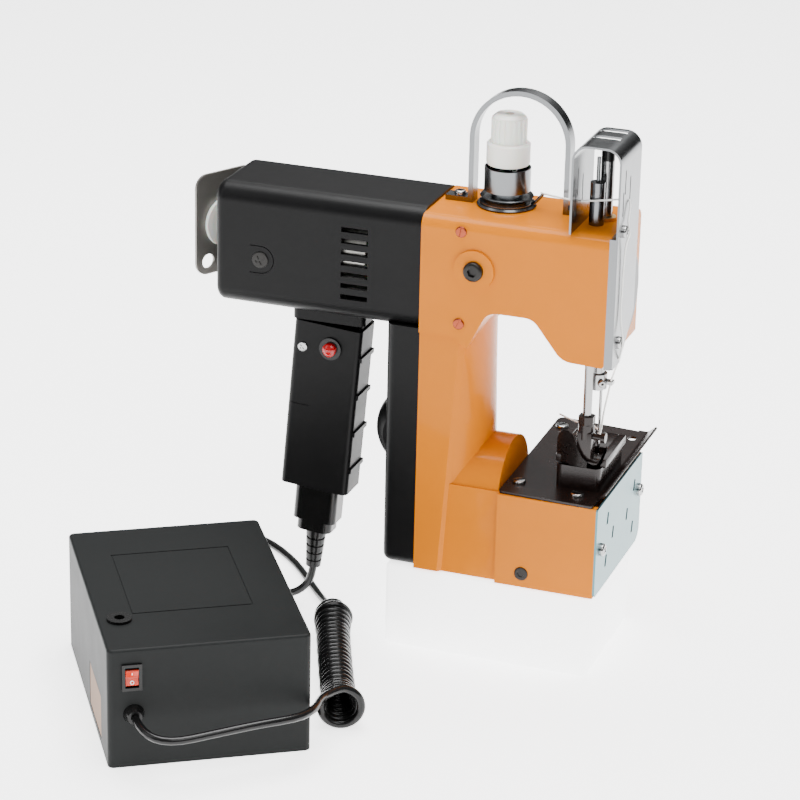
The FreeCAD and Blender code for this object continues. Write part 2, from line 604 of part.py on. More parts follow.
def needle_parts():
    x, y = NEEDLE_X, NEEDLE_Y
    low = NEEDLE_BAR_LOW
    bar = rod(Vector(x, y, low), Z_AXIS, NEEDLE_BAR_R, NEEDLE_BAR_HIGH - low)
    tip_hole = rod(Vector(x + NEEDLE_OFFSET, y, low - 1), Z_AXIS, 0.9, 14)
    save("needle_bar", bar.cut(tip_hole))
    mid = SHAFT_Z + CRANK_THROW
    half_slot = CRANK_PIN_R + PIN_GAP
    yoke = box(88.3, x + 6.5, -19, 19, mid - half_slot - 3, mid + half_slot + 3)
    yoke = yoke.cut(box(93.0, x + 7, 8.5, 20, 150, 230)).cut(box(93.0, x + 7, -20, -5.6, 150, 230))
    slot = box(88, 92.6, -CRANK_THROW - CRANK_PIN_R - 1.5, CRANK_THROW + CRANK_PIN_R + 1.5,
               mid - half_slot, mid + half_slot)
    save("needle_bar_yoke", yoke.cut([slot, rod(Vector(x, y, 150), Z_AXIS, NEEDLE_BAR_R, 90)]))
    cap = rod(Vector(x, y, NEEDLE_BAR_HIGH), Z_AXIS, NEEDLE_BAR_R, 9)
    rim = [edge for edge in cap.Edges if edge.CenterOfMass.z > NEEDLE_BAR_HIGH + 8]
    save("needle_bar_cap", cap.makeFillet(2.2, rim))
    clamp = rod(Vector(x, y, low + 1), Z_AXIS, 5.6, 9)
    guide = box(x + 4.8, x + 9.5, y - 2.5, y + 2.5, low + 4, low + 6)
    clamp = clamp.fuse(guide).cut(rod(Vector(x, y, low), Z_AXIS, NEEDLE_BAR_R, 12))
    clamp = clamp.cut(rod(Vector(x + 8.0, y, low), Z_AXIS, 0.8, 12))
    clamp_screw = screw(Vector(x + 3.3, y - 4.4, low + 5.5), (0.6, -0.8, 0), 2.2, 2.4, 1.0, 1.0)
    save("needle_clamp", clamp.fuse(clamp_screw))
    needle = rod(Vector(x + NEEDLE_OFFSET, y, 84.0), Z_AXIS, 0.85, low + 13 - 84.0)
    point = Part.makeCone(0.1, 0.85, 12, Vector(x + NEEDLE_OFFSET, y, 72.0), Z_AXIS)
    eye = rod(Vector(x + 0.5, y, 86.0), X_AXIS, 0.35, 4)
    save("needle", needle.fuse(point).removeSplitter().cut(eye))


def presser_parts():
    px, py = PRESSER_X, PRESSER_Y
    bar = rod(Vector(px, py, PRESSER_LOW), Z_AXIS, PRESSER_R, PRESSER_HIGH - PRESSER_LOW)
    collar = rod(Vector(px, py, 149.3), Z_AXIS, 5.0, 5)
    save("presser_bar", bar.fuse(collar))
    tube_low = 211.0
    tube = ring(Vector(px, py, tube_low), Z_AXIS, 4.3, 3.4, 34)
    lid = rod(Vector(px, py, 243.5), Z_AXIS, 4.3, 1.5)
    stem = rod(Vector(px, py, 243.5), Z_AXIS, 1.1, 16)
    save("pressure_tube", tube.fuse([lid, stem]))
    save("presser_spring", ring(Vector(px, py, PRESSER_HIGH), Z_AXIS, 3.1, 2.1,
                                243.5 - PRESSER_HIGH))


# ---------------------------------------------------------------- bed: foot, plates, looper

BLOCK_TOP = 72.0
BLOCK_FRONT = -12.0
FOOT_LOW = 73.5
FOOT_PLATE_FRONT = -16.0


def presser_foot():
    """Sole with two upright front plates, a needle slot and a socket for the presser bar."""
    px, py = PRESSER_X, PRESSER_Y
    low, front = FOOT_LOW, FOOT_PLATE_FRONT
    socket = rod(Vector(px, py, low + 4), Z_AXIS, 5.0, 104 - low - 4)
    sole = slab_yz([(front + 3, low + 2), (front + 5, low), (26, low), (30, low + 3),
                    (30, low + 5.5), (front + 3, low + 5.5)], 79, 110, [1, 1, 4, 2, 1, 0])
    left = slab_xz([(79, low + 0.5), (94, low + 0.5), (94, 94), (79, 94)], front, front + 3.5,
                   [1, 1, 6, 6])
    right = slab_xz([(97.5, low + 0.5), (110, low + 0.5), (110, 90), (97.5, 90)], front,
                    front + 3.5, [1, 1, 5, 3])
    slot = box(NEEDLE_X - 1.2, NEEDLE_X + 6.2, NEEDLE_Y - 4.5, NEEDLE_Y + 4.5, 60, 130)
    bar = rod(Vector(px, py, PRESSER_LOW), Z_AXIS, PRESSER_R, 30)
    return join(socket, sole, left, right).cut([slot, bar])


def throat_plate():
    top = BED_TOP + PLATE_THICK
    flat = slab_xy([(BED_START, -31.5), (108.5, -33.5), (108.5, 88), (50, 93)],
                   BED_TOP, top, [2, 2, 8, 4])
    lip_steps = [(108.5 - 7, BED_TOP), (108.5, BED_TOP), (113.0, BED_TOP + 4.5),
                 (112.2, BED_TOP + 5.8), (107.4, top), (108.5 - 7, top)]
    lip = slab_xz(lip_steps, -22, 90, [0, 3, 0.4, 0.4, 3, 0])
    block = round_box_z(79, 106, BLOCK_FRONT, 38, BED_TOP, BLOCK_TOP, 4)
    plate = join(flat, lip, block)
    needle_slot = box(NEEDLE_X - 1.5, NEEDLE_X + 6.5, NEEDLE_Y - 5, NEEDLE_Y + 5, 50, BLOCK_TOP + 1)
    feed_slots = [box(x0, x0 + 4.4, -10, 22, 50, BLOCK_TOP + 1) for x0 in (84.8, 90.3)]
    cover_hole = rod(Vector(101.0, 76.0, 50), Z_AXIS, 3.0, 20)
    shanks = holes(THROAT_SCREWS, (0, 0, 1), 2.0, 5)
    return plate.cut([needle_slot, cover_hole] + feed_slots + shanks)


END_SLOTS = [(45.3, 41.1), (31.1, 27.9), (-11.4, 42.6), (1.3, 28.8), (44.6, 14.2), (-11.7, 15.6)]


def end_plate():
    plate = slab_yz([(-33.7, 0.6), (BED_REAR, 0.6), (BED_REAR, BED_TOP), (-33.7, BED_TOP)],
                    HEAD_END, HEAD_END + SHEET, [3, 9, 1, 1])
    slots = []
    for y, z in END_SLOTS:
        cutter = box(HEAD_END - 1, HEAD_END + 3, y - 1.5, y + 1.5, z - 3.6, z + 3.6)
        slots.append(turned(cutter, -14, Vector(0, y, z)))
    return plate.cut(slots + holes([(HEAD_END + 3, y, z) for _, y, z in END_SCREWS],
                                   (1, 0, 0), 2.0, 5))


def bed_parts():
    save("presser_foot", presser_foot())
    save("throat_plate", throat_plate())
    save("end_plate", end_plate())
    rails = [box(x0, x0 + 3.0, -9, 17, 50, BLOCK_TOP + 0.4) for x0 in (85.5, 91.0)]
    carrier = box(80, 94.0, -9, 17, 45, 50.1)
    save("feed_dog", join(carrier, *rails))
    z = LOWER_SHAFT_Z
    arm = box(95.2, 98.8, -6.5, 6.5, z - 6.5, z + 14)
    arm = arm.fuse(box(95.2, 98.8, -14.5, 4, z + 10, z + 15))
    beak = slab_yz([(-14.5, z + 14), (-12, z + 14), (-12, z + 17), (3, z + 17), (3, z + 18),
                    (-14.5, z + 18)], 95.2, 98.8)
    save("looper", join(arm, beak).cut(rod(Vector(90, 0, z), X_AXIS, SHAFT_R, 20)))


# ---------------------------------------------------------------- top fittings

def carry_bail():
    """Flat strip bent to an arch, with a turned-out foot at each end."""
    arch_z = BAIL_IN_TOP - BAIL_IN_R
    y0 = BAIL_Y - BAIL_WIDTH / 2.0
    outer_r = BAIL_IN_R + BAIL_THICK
    start = Vector(BAIL_X, y0, arch_z)
    arch = rod(start, Y_AXIS, outer_r, BAIL_WIDTH).cut(rod(start, Y_AXIS, BAIL_IN_R, BAIL_WIDTH))
    arch = arch.common(box(0, 100, -20, 20, arch_z, 300))
    foot_top = HEAD_TOP + 3.0
    legs = [box(BAIL_X - outer_r, BAIL_X - BAIL_IN_R, y0, y0 + BAIL_WIDTH, foot_top - BAIL_THICK, arch_z),
            box(BAIL_X + BAIL_IN_R, BAIL_X + outer_r, y0, y0 + BAIL_WIDTH, foot_top - BAIL_THICK, arch_z)]
    foot_low = HEAD_TOP
    left = box(3.0, BAIL_X - BAIL_IN_R, y0, y0 + BAIL_WIDTH, foot_low, foot_top)
    right = box(BAIL_X + BAIL_IN_R, 86.0, y0, y0 + BAIL_WIDTH, foot_low, foot_top)
    solid = join(arch, legs[0], legs[1], left, right)
    return solid.cut(holes(BAIL_SCREWS, (0, 0, 1), 2.0, 5))


def tension_parts():
    x, y = TENSION_X, TENSION_Y
    base = HEAD_TOP
    post = rod(Vector(x, y, HEAD_TOP - 8), Z_AXIS, 3.0, base + 2 - HEAD_TOP + 8)
    save("tension_post", post.fuse(rod(Vector(x, y, base), Z_AXIS, 2.5, 40)))
    washer = revolve_z(x, y, [(3.0, base), (16.5, base), (17.2, base + 1.0), (16.5, base + 2.0),
                              (3.0, base + 2.0)])
    lower = revolve_z(x, y, [(2.6, base + 3.2), (13, base + 3.2), (15.5, base + 2.1),
                             (15.5, base + 2.8), (13, base + 4.2), (2.6, base + 4.2)])
    upper = revolve_z(x, y, [(2.6, base + 4.3), (13, base + 4.3), (15.5, base + 6.0),
                             (15.0, base + 6.6), (13, base + 5.2), (2.6, base + 5.2)])
    save("tension_discs", group([washer, lower, upper]))
    cup = revolve_z(x, y, [(2.6, base + 5.3), (9.0, base + 5.3), (9.0, base + 8.0),
                           (13.4, base + 9.5), (13.4, base + 23.0), (12.4, base + 23.0),
                           (12.4, base + 10.3), (8.0, base + 9.0), (8.0, base + 6.3),
                           (2.6, base + 6.3)])
    save("tension_cup", cup)
    save("tension_spring", ring(Vector(x, y, base + 6.4), Z_AXIS, 6.2, 3.0, 18.2))
    knob_low = base + 24.8
    bore = 2.5 + FIT_GAP
    collar = revolve_z(x, y, [(bore, knob_low), (12.0, knob_low), (12.6, knob_low + 1.5),
                              (12.6, knob_low + 12.0), (11.6, knob_low + 13.0),
                              (bore, knob_low + 13.0)])
    grip = revolve_z(x, y, [(bore, knob_low + 13), (9.8, knob_low + 13), (9.4, knob_low + 28),
                            (7.6, knob_low + 29.5), (bore, knob_low + 29.5)])
    ribs = []
    for index in range(20):
        rib = box(x + 9.0, x + 10.3, y - 0.5, y + 0.5, knob_low + 13, knob_low + 27)
        ribs.append(turned(rib, index * 18.0, Vector(x, y, 0), Z_AXIS))
    save("tension_knob", collar.fuse([grip] + ribs).removeSplitter())
    wire_path = [Vector(x + 12, y, base + 1.0), Vector(x + 16.5, y - 1, base + 3.0),
                 Vector(x + 22, y - 2, base + 9.5)]
    hook = tube(wire_path, 1.0)[0]
    save("thread_hook", hook.cut([washer, lower, upper]))


def thread_guard():
    """Chrome sheet bent over the bar tops, open towards the front."""
    t = SHEET
    left, right, top = GUARD_LEFT, GUARD_RIGHT, GUARD_TOP
    y0, y1 = GUARD_FRONT, GUARD_REAR
    outline = [(left, 205), (right, 205), (right, top), (left, top)]
    outer = slab_xz(outline, y0, y1, [0, 0, 9, 9])
    inner = slab_xz([(left + t, 204), (right - t, 204), (right - t, top - t),
                     (left + t, top - t)], y0 - 1, y1 + 1, [0, 0, 9 - t, 9 - t])
    shell = outer.cut(inner)
    shell = shell.cut(box(left - 1, right - t - 0.01, y0 - 1, y1 + 1, 204, HEAD_TOP))
    wall = slab_yz([(y0, 142.4), (-17, 142.4), (y1, 166), (y1, 206), (y0, 206)],
                   right - t, right, [2, 4, 4, 0, 0])
    lip = box(HEAD_END + 0.02, right - t + 0.1, y0, y0 + t, 142.6, HEAD_TOP)
    foot = box(HEAD_END + 0.02, right - t, -28, -16, 150, 162)
    guard = join(shell, wall, lip, foot)
    slots = [box(left + 6, right - 7, -14, -9, top - 3, top + 1),
             box(left + 6, right - 7, 0, 5, top - 3, top + 1)]
    for index, (y, z) in enumerate([(-24, 244), (-14, 238), (-27, 232)]):
        slots.append(box(right - 3, right + 1, y, y + 1.6, z, z + 14))
        slots.append(box(left - 1, left + 3, y, y + 1.6, z - 4, z + 12))
    return guard.cut(slots + holes(GUARD_SCREWS, (1, 0, 0), 2.0, 8))


def spool_parts():
    """Upright sheet plate with an eye, bent from a flange on the end cap, and a white disc."""
    place = Vector(MOTOR_LEFT - 9.1, 4.0, 0)
    blank = slab_xz([(-20, 156), (18, 156), (18, 218), (-20, 218)], 0, SPOOL_THICK, [8, 1, 1, 8])
    blank = blank.cut(rod(Vector(*SPOOL_EYE) + Vector(0, -2, 0), Y_AXIS, SPOOL_EYE_R, 6))
    disc = rod(Vector(1.5, -0.2, 187.0), Y_AXIS * -1, 15.0, 2.4)
    for shape in (blank, disc):
        shape.rotate(Vector(0, 0, 0), Z_AXIS, SPOOL_TURN)
        shape.translate(place)
    flange = box(MOTOR_LEFT - 1.6, MOTOR_LEFT, 17.0, 28.0, 160, 210)
    plate = join(blank.common(box(-200, MOTOR_LEFT, -60, 60, 100, 260)), flange)
    plate = plate.cut(holes(SPOOL_SCREWS, (-1, 0, 0), 2.0, 5))
    save("spool_plate", plate)
    disc = disc.common(box(-200, MOTOR_LEFT - 0.4, -60, 60, 100, 260))
    save("spool_seat", disc.cut(box(-140, -120, 16.5, 40, 150, 220)).cut(plate))


# ---------------------------------------------------------------- battery pack

def pack_place(shape):
    copy = shape.copy()
    copy.rotate(Vector(0, 0, 0), Z_AXIS, PACK_TURN)
    copy.translate(Vector(PACK_X, PACK_Y, FLOOR_Z))
    return copy


ROCKER_AT = (13.5, 55.0)
ROCKER_PIVOT_Y = 1.0
ROCKER_PIVOT_R = 1.2
GROMMET_AT = (14.4, 32.4)
JACK_AT = (12.5, 38.0)
LID_GROOVE = (20.0, 89.0, 44.0, 124.0)


def pack_parts():
    w, d, h, t = PACK_W, PACK_D, PACK_H, PACK_WALL
    corners = [(0, 0), (w, 0), (w, d), (0, d)]
    outer = slab_xy(corners, 0, h, [3.5] * 4)
    top_edges = [edge for edge in outer.Edges if edge.CenterOfMass.z > h - 0.1]
    outer = outer.makeFillet(1.6, top_edges)
    inside = round_box_z(t, w - t, t, d - t, t, h - t, 2)
    shell = outer.cut(inside)
    grommet_hole = rod(Vector(GROMMET_AT[0], -1, GROMMET_AT[1]), Y_AXIS, 4.0, 5)
    rx, rz = ROCKER_AT
    rocker_hole = box(rx - 4.8, rx + 4.8, -1, 5, rz - 6.6, rz + 6.6)
    jack_hole = rod(Vector(JACK_AT[0], JACK_AT[1], h - 5), Z_AXIS, 4.5, 10)
    g = LID_GROOVE
    groove = box(g[0], g[1], g[2], g[3], h - 0.5, h + 1)
    groove = groove.cut(box(g[0] + 0.9, g[1] - 0.9, g[2] + 0.9, g[3] - 0.9, h - 1, h + 2))
    label_recess = box(-1, 0.4, 27, 72, 4, 31)
    shell = shell.cut([grommet_hole, rocker_hole, jack_hole, groove, label_recess])
    base = shell.common(box(-5, w + 5, -5, d + 5, -5, PACK_SEAM))
    lid = shell.common(box(-5, w + 5, -5, d + 5, PACK_SEAM, h + 5))
    save("pack_base", pack_place(base))
    save("pack_lid", pack_place(lid))
    cells = [box(28 + 26 * i, 52 + 26 * i, 14, 104, 4, 60) for i in range(3)]
    save("battery_cells", pack_place(group(cells)))
    bezel = box(rx - 5.6, rx + 5.6, -1.4, 0, rz - 7.9, rz + 7.9)
    bezel = bezel.fuse(box(rx - 4.8, rx + 4.8, -0.1, 12, rz - 6.6, rz + 6.6))
    bezel = bezel.cut(box(rx - 3.8, rx + 3.8, -2, 8, rz - 6.1, rz + 6.1))
    pivot_hole = rod(Vector(rx - 4.65, ROCKER_PIVOT_Y, rz), X_AXIS,
                     ROCKER_PIVOT_R + FIT_GAP, 9.3)
    save("rocker_bezel", pack_place(bezel.cut(pivot_hole)))
    rocker = slab_yz([(-2.6, rz + 4.9), (-0.4, rz), (-1.4, rz - 4.9), (1.6, rz - 4.2),
                      (4.0, rz), (1.6, rz + 4.2)], rx - 3.5, rx + 3.5, [0.4, 2, 0.4, 1, 2, 1])
    pivot = rod(Vector(rx - 4.6, ROCKER_PIVOT_Y, rz), X_AXIS, ROCKER_PIVOT_R, 9.2)
    save("rocker", pack_place(join(rocker, pivot)))
    jack = ring(Vector(JACK_AT[0], JACK_AT[1], h), Z_AXIS, 7.0, 2.9, 1.6)
    jack = jack.fuse(ring(Vector(JACK_AT[0], JACK_AT[1], h - 11), Z_AXIS, 4.5, 2.9, 11))
    jack = jack.fuse(rod(Vector(JACK_AT[0], JACK_AT[1], h - 11), Z_AXIS, 4.5, 1.5))
    jack = jack.fuse(rod(Vector(JACK_AT[0], JACK_AT[1], h - 11), Z_AXIS, 1.0, 9))
    save("charging_jack", pack_place(jack))
    gx, gz = GROMMET_AT
    grommet = Part.makeCone(6.0, 4.0, 5.0, Vector(gx, 0, gz), Y_AXIS * -1)
    grommet = grommet.fuse(rod(Vector(gx, 0, gz), Y_AXIS, 4.0, t))
    grommet = grommet.cut(rod(Vector(gx, -6, gz), Y_AXIS, CORD_R, 20))
    save("cord_grommet", pack_place(grommet))
    return pack_place(Part.Vertex(Vector(gx, -1.0, gz))).Vertexes[0].Point


# ---------------------------------------------------------------- cord

def tube(route, radius):
    """Straight runs joined by tangent arcs; returns the solid, its length and arc radii."""
    edges, radii = [], []
    last = route[0]
    for index in range(1, len(route) - 1):
        here = route[index]
        back = route[index - 1] - here
        ahead = route[index + 1] - here
        half_turn = (math.pi - back.getAngle(ahead)) / 2.0
        reach = 0.45 * min(back.Length, ahead.Length)
        arc_radius = reach / math.tan(half_turn)
        back_dir = Vector(back).normalize()
        ahead_dir = Vector(ahead).normalize()
        start = here + back_dir * reach
        end = here + ahead_dir * reach
        bisector = (back_dir + ahead_dir).normalize()
        middle = here + bisector * (arc_radius / math.cos(half_turn) - arc_radius)
        edges.append(Part.LineSegment(last, start).toShape())
        edges.append(Part.Arc(start, middle, end).toShape())
        radii.append(arc_radius)
        last = end
    edges.append(Part.LineSegment(last, route[-1]).toShape())
    path = Part.Wire(edges)
    tangent = (route[1] - route[0]).normalize()
    profile = Part.Wire([Part.makeCircle(radius, route[0], tangent)])
    solid = path.makePipeShell([profile], True, False)
    return solid, path.Length, radii


def cord_parts(exit_point):
    curl = [Vector(-5.0, -143.0, -40.9), Vector(-37.0, -80.0, -40.9), Vector(-56.0, -27.0, -40.9)]
    front = [exit_point,
             Vector(-84.8, -240.0, -20.5), Vector(-72.9, -247.6, -22.8),
             Vector(-60.1, -245.6, -25.0), Vector(-45.2, -232.2, -27.2),
             Vector(-25.8, -212.1, -29.0), Vector(-6.5, -191.8, -30.0),
             Vector(5.0, -172.0, -34.0), Vector(0.5, -153.5, -39.5), curl[0]]
    low = FLOOR_Z + CORD_R + 0.2
    end = relief_end()
    tail = [curl[-1],
            Vector(-60.5, -14.0, -43.5), Vector(-71.0, 2.0, -47.5), Vector(-87.0, 24.0, low),
            Vector(-107.0, 49.0, low), Vector(-133.0, 71.0, low), Vector(-160.0, 80.0, low),
            Vector(-184.0, 70.0, low), Vector(-194.0, 47.0, low), Vector(-184.0, 24.0, low),
            Vector(-162.0, 11.0, low), Vector(-136.0, 5.0, low), Vector(-114.0, 1.5, low + 0.2),
            Vector(-98.0, -1.0, -48.4), Vector(-87.0, -1.3, -45.6), Vector(-79.3, -0.4, -38.6),
            Vector(-76.3, 0.0, -30.5), end]
    for name, route, radius in (("cord_front", front, CORD_R), ("cord_coil", curl, CURL_R),
                                ("cord_tail", tail, CORD_R)):
        solid, length, radii = tube(route, radius)
        expected = math.pi * radius * radius * length
        print(name, "length", round(length, 1), "radii", [round(r, 1) for r in radii],
              "volume ratio", round(solid.Volume / expected, 4))
        save(name, solid)


# ---------------------------------------------------------------- build

def screw_parts():
    """Fasteners that share a size and a finish are one node each."""
    pans = [screw(Vector(*seat), (0, 0, 1), 4.0, 2.0, 2.0, 8) for seat in THROAT_SCREWS]
    pans += [screw(Vector(*seat), (0, 0, 1), 3.4, 2.4, 2.0, 9) for seat in BAIL_SCREWS]
    pans += [screw(Vector(*seat), (1, 0, 0), 3.6, 2.2, 2.0, 6) for seat in GUARD_SCREWS]
    pans += [screw(Vector(HEAD_END + SHEET, y, z), (1, 0, 0), 3.8, 2.6, 2.0, 8)
             for _, y, z in END_SCREWS]
    pans += [screw(Vector(*seat), (-1, 0, 0), 3.2, 1.8, 2.0, 5) for seat in SPOOL_SCREWS]
    seat = Vector(GRIP_SCREW_AT[0], GRIP_FRONT, GRIP_SCREW_AT[1])
    pans.append(grip_place(screw(seat, (0, -1, 0), 3.0, 1.0, 1.6, 7)))
    save("pan_screws", group(pans))
    coppers = [screw(Vector(*seat), (0, -1, 0), 2.6, 1.2, 2.0, 5) for seat in COPPER_SCREWS]
    save("flange_screws", group(coppers))
    boss_seat = BOSS_CENTRE + Vector(0, -1.6, 0)
    blacks = [screw(boss_seat, (0, -1, 0), 5.8, 3.0, 3.0, 9),
              screw(BASE_SCREW, (0, -1, 0), 4.1, 0.8, 2.5, 5),
              screw(CAP_BOSS, (0, -1, 0), 5.0, 0.8, 2.0, 6)]
    save("socket_screws", group(blacks))


def end_disc():
    """Black round cap over the end of the arm, behind the thread guard."""
    disc = rod(Vector(HEAD_END + 0.05, 0, 177.0), X_AXIS, 26.5, 2.2)
    rim = [edge for edge in disc.Edges if edge.CenterOfMass.x > HEAD_END + 2]
    return disc.makeFillet(1.0, rim).cut(box(HEAD_END - 1, HEAD_END + 4, -40, -14, 145, 210))


def main():
    save("body_casting", body_casting())
    save("motor_housing", motor_housing())
    save("motor_end_cap", motor_end_cap())
    front, rear = grip_shells()
    save("handle_shell_front", front)
    save("handle_shell_rear", rear)
    save("start_button", start_button())
    save("button_collar", button_collar())
    save("switch_body", switch_body())
    save("inlet_socket", inlet_socket())
    save("connector", connector())
    save("connector_relief", connector_relief())
    motor_parts()
    drive_parts()
    needle_parts()
    presser_parts()
    bed_parts()
    save("end_disc", end_disc())
    save("carry_bail", carry_bail())
    tension_parts()
    save("thread_guard", thread_guard())
    spool_parts()
    screw_parts()
    exit_point = pack_parts()
    cord_parts(exit_point)
    print(len(saved_nodes), "nodes")


main()
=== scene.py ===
"""Portable bag closer: finishes, cord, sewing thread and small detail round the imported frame."""

import json
import logging
import math
from dataclasses import dataclass, field
from enum import Enum
from typing import Any, Iterator, Sequence

import bmesh
import bpy
from mathutils import Matrix, Vector


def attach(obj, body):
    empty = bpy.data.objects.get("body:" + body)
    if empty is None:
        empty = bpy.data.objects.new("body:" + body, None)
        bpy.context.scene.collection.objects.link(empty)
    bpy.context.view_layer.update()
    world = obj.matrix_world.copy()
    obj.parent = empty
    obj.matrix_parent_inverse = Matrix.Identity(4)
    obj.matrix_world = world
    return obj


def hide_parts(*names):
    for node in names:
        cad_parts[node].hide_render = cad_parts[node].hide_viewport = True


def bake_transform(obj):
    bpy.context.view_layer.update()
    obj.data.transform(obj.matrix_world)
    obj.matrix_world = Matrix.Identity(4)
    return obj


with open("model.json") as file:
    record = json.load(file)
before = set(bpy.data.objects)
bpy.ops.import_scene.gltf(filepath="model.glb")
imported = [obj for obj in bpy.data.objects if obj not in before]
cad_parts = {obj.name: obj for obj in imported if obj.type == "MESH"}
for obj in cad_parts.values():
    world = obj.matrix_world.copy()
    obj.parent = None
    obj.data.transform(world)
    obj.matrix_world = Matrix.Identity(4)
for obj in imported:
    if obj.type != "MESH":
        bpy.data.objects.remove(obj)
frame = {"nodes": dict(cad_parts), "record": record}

log = logging.getLogger("bag_closer")

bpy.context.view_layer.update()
ORIGIN_MM = Vector((46.5, 4.0, 286.0))
FLOOR_MM = -52.0


def place(x: float, y: float, z: float) -> Vector:
    """Turn a point in machine millimetres into the row frame.

    Args:
        x: Distance from the joint of motor unit and casting.
        y: Distance behind the motor axis.
        z: Height above the casting's underside.

    Returns:
        The point in metres in the row frame.
    """
    return (Vector((x, y, z)) - ORIGIN_MM) / 1000.0


# ---------------------------------------------------------------- shader tools


class Signal:
    """A socket whose Python operators add Math nodes."""

    def __init__(self, bench: "NodeBench", socket: bpy.types.NodeSocket) -> None:
        """Keep the bench that owns the socket, and the socket."""
        self.bench = bench
        self.socket = socket

    def _math(self, operation: str, first: Any, second: Any) -> "Signal":
        """Add one Math node.

        Args:
            operation: The Math node's operation.
            first: A Signal or a number.
            second: A Signal or a number.

        Returns:
            The node's output.
        """
        return self.bench.node("ShaderNodeMath", {"operation": operation}, {0: first, 1: second})

    def __add__(self, other: Any) -> "Signal":
        """Sum."""
        return self._math("ADD", self, other)

    def __sub__(self, other: Any) -> "Signal":
        """Difference."""
        return self._math("SUBTRACT", self, other)

    def __mul__(self, other: Any) -> "Signal":
        """Product."""
        return self._math("MULTIPLY", self, other)


class NodeBench:
    """Adds nodes to one material or world."""

    def __init__(self, tree: bpy.types.NodeTree) -> None:
        """Clear the tree and keep it."""
        self.tree = tree
        tree.nodes.clear()

    def raw(self, kind: str, settings: dict[str, Any], inputs: dict[Any, Any]) -> bpy.types.Node:
        """Add a node, set its options and then its inputs.

        Args:
            kind: The node's type.
            settings: Options such as an operation, which are set first.
            inputs: Values, Signals or sockets by input name or number.

        Returns:
            The new node.
        """
        node = self.tree.nodes.new(kind)
        for name, value in settings.items():
            setattr(node, name, value)
        for key, value in inputs.items():
            target = node.inputs[key]
            if isinstance(value, Signal):
                self.tree.links.new(value.socket, target)
            elif isinstance(value, bpy.types.NodeSocket):
                self.tree.links.new(value, target)
            else:
                target.default_value = value
        return node

    def node(self, kind: str, settings: dict[str, Any], inputs: dict[Any, Any],
             output: Any = 0) -> Signal:
        """Add a node and return one of its outputs.

        Args:
            kind: The node's type.
            settings: Options, set first.
            inputs: Values or links of its sockets.
            output: Name or number of the output.

        Returns:
            The chosen output.
        """
        return Signal(self, self.raw(kind, settings, inputs).outputs[output])


class Grain(Enum):
    """How the fine surface texture runs."""

    EVEN = (1.0, 1.0, 1.0)
    ALONG_Z = (1.0, 1.0, 0.04)
    ALONG_Y = (1.0, 0.04, 1.0)


@dataclass(frozen=True)
class Finish:
    """One real surface finish.

    Sizes of texture are given as repeats per metre, and depth in metres.
    """

    name: str
    colour: tuple[float, float, float]
    roughness: float = 0.4
    metallic: float = 0.0
    coat: float = 0.0
    coat_roughness: float = 0.08
    mottle: float = 0.05
    tone: float = 0.06
    patch_scale: float = 45.0
    grain_scale: float = 1400.0
    grain_depth: float = 0.00002
    grain: Grain = Grain.EVEN
    subsurface: float = 0.0
    specular: float = 0.5
    bump_strength: float = 0.6
    scatter_depth: float = 0.004

    def material(self) -> bpy.types.Material:
        """Build the finish as a material.

        Returns:
            A material with a mottled roughness, a drifting tone and a fine grain.
        """
        made = bpy.data.materials.new(self.name)
        made.use_nodes = True
        bench = NodeBench(made.node_tree)
        where = bench.node("ShaderNodeTexCoord", {}, {}, "Object")
        patches = bench.node("ShaderNodeTexNoise", {}, {
            "Vector": where, "Scale": self.patch_scale, "Detail": 4.0, "Roughness": 0.6}, "Fac")
        stretched = bench.node("ShaderNodeMapping", {}, {
            "Vector": where, "Scale": self.grain.value}, "Vector")
        fine = bench.node("ShaderNodeTexNoise", {}, {
            "Vector": stretched, "Scale": self.grain_scale, "Detail": 2.0}, "Fac")
        deep = [channel * (1.0 - 2.0 * self.tone) for channel in self.colour] + [1.0]
        light = [min(1.0, channel * (1.0 + self.tone)) for channel in self.colour] + [1.0]
        colour = bench.node("ShaderNodeMix", {"data_type": "RGBA"}, {
            0: patches, 6: deep, 7: light}, 2)
        bump = bench.node("ShaderNodeBump", {}, {
            "Strength": self.bump_strength, "Distance": self.grain_depth, "Height": fine}, "Normal")
        rough = (patches - 0.5) * self.mottle + self.roughness
        shader = bench.raw("ShaderNodeBsdfPrincipled", {}, {
            "Base Color": colour, "Roughness": rough, "Metallic": self.metallic,
            "Coat Weight": self.coat, "Coat Roughness": self.coat_roughness,
            "Subsurface Weight": self.subsurface, "Subsurface Scale": self.scatter_depth,
            "Specular IOR Level": self.specular, "Normal": bump})
        bench.raw("ShaderNodeOutputMaterial", {}, {"Surface": shader.outputs[0]})
        return made


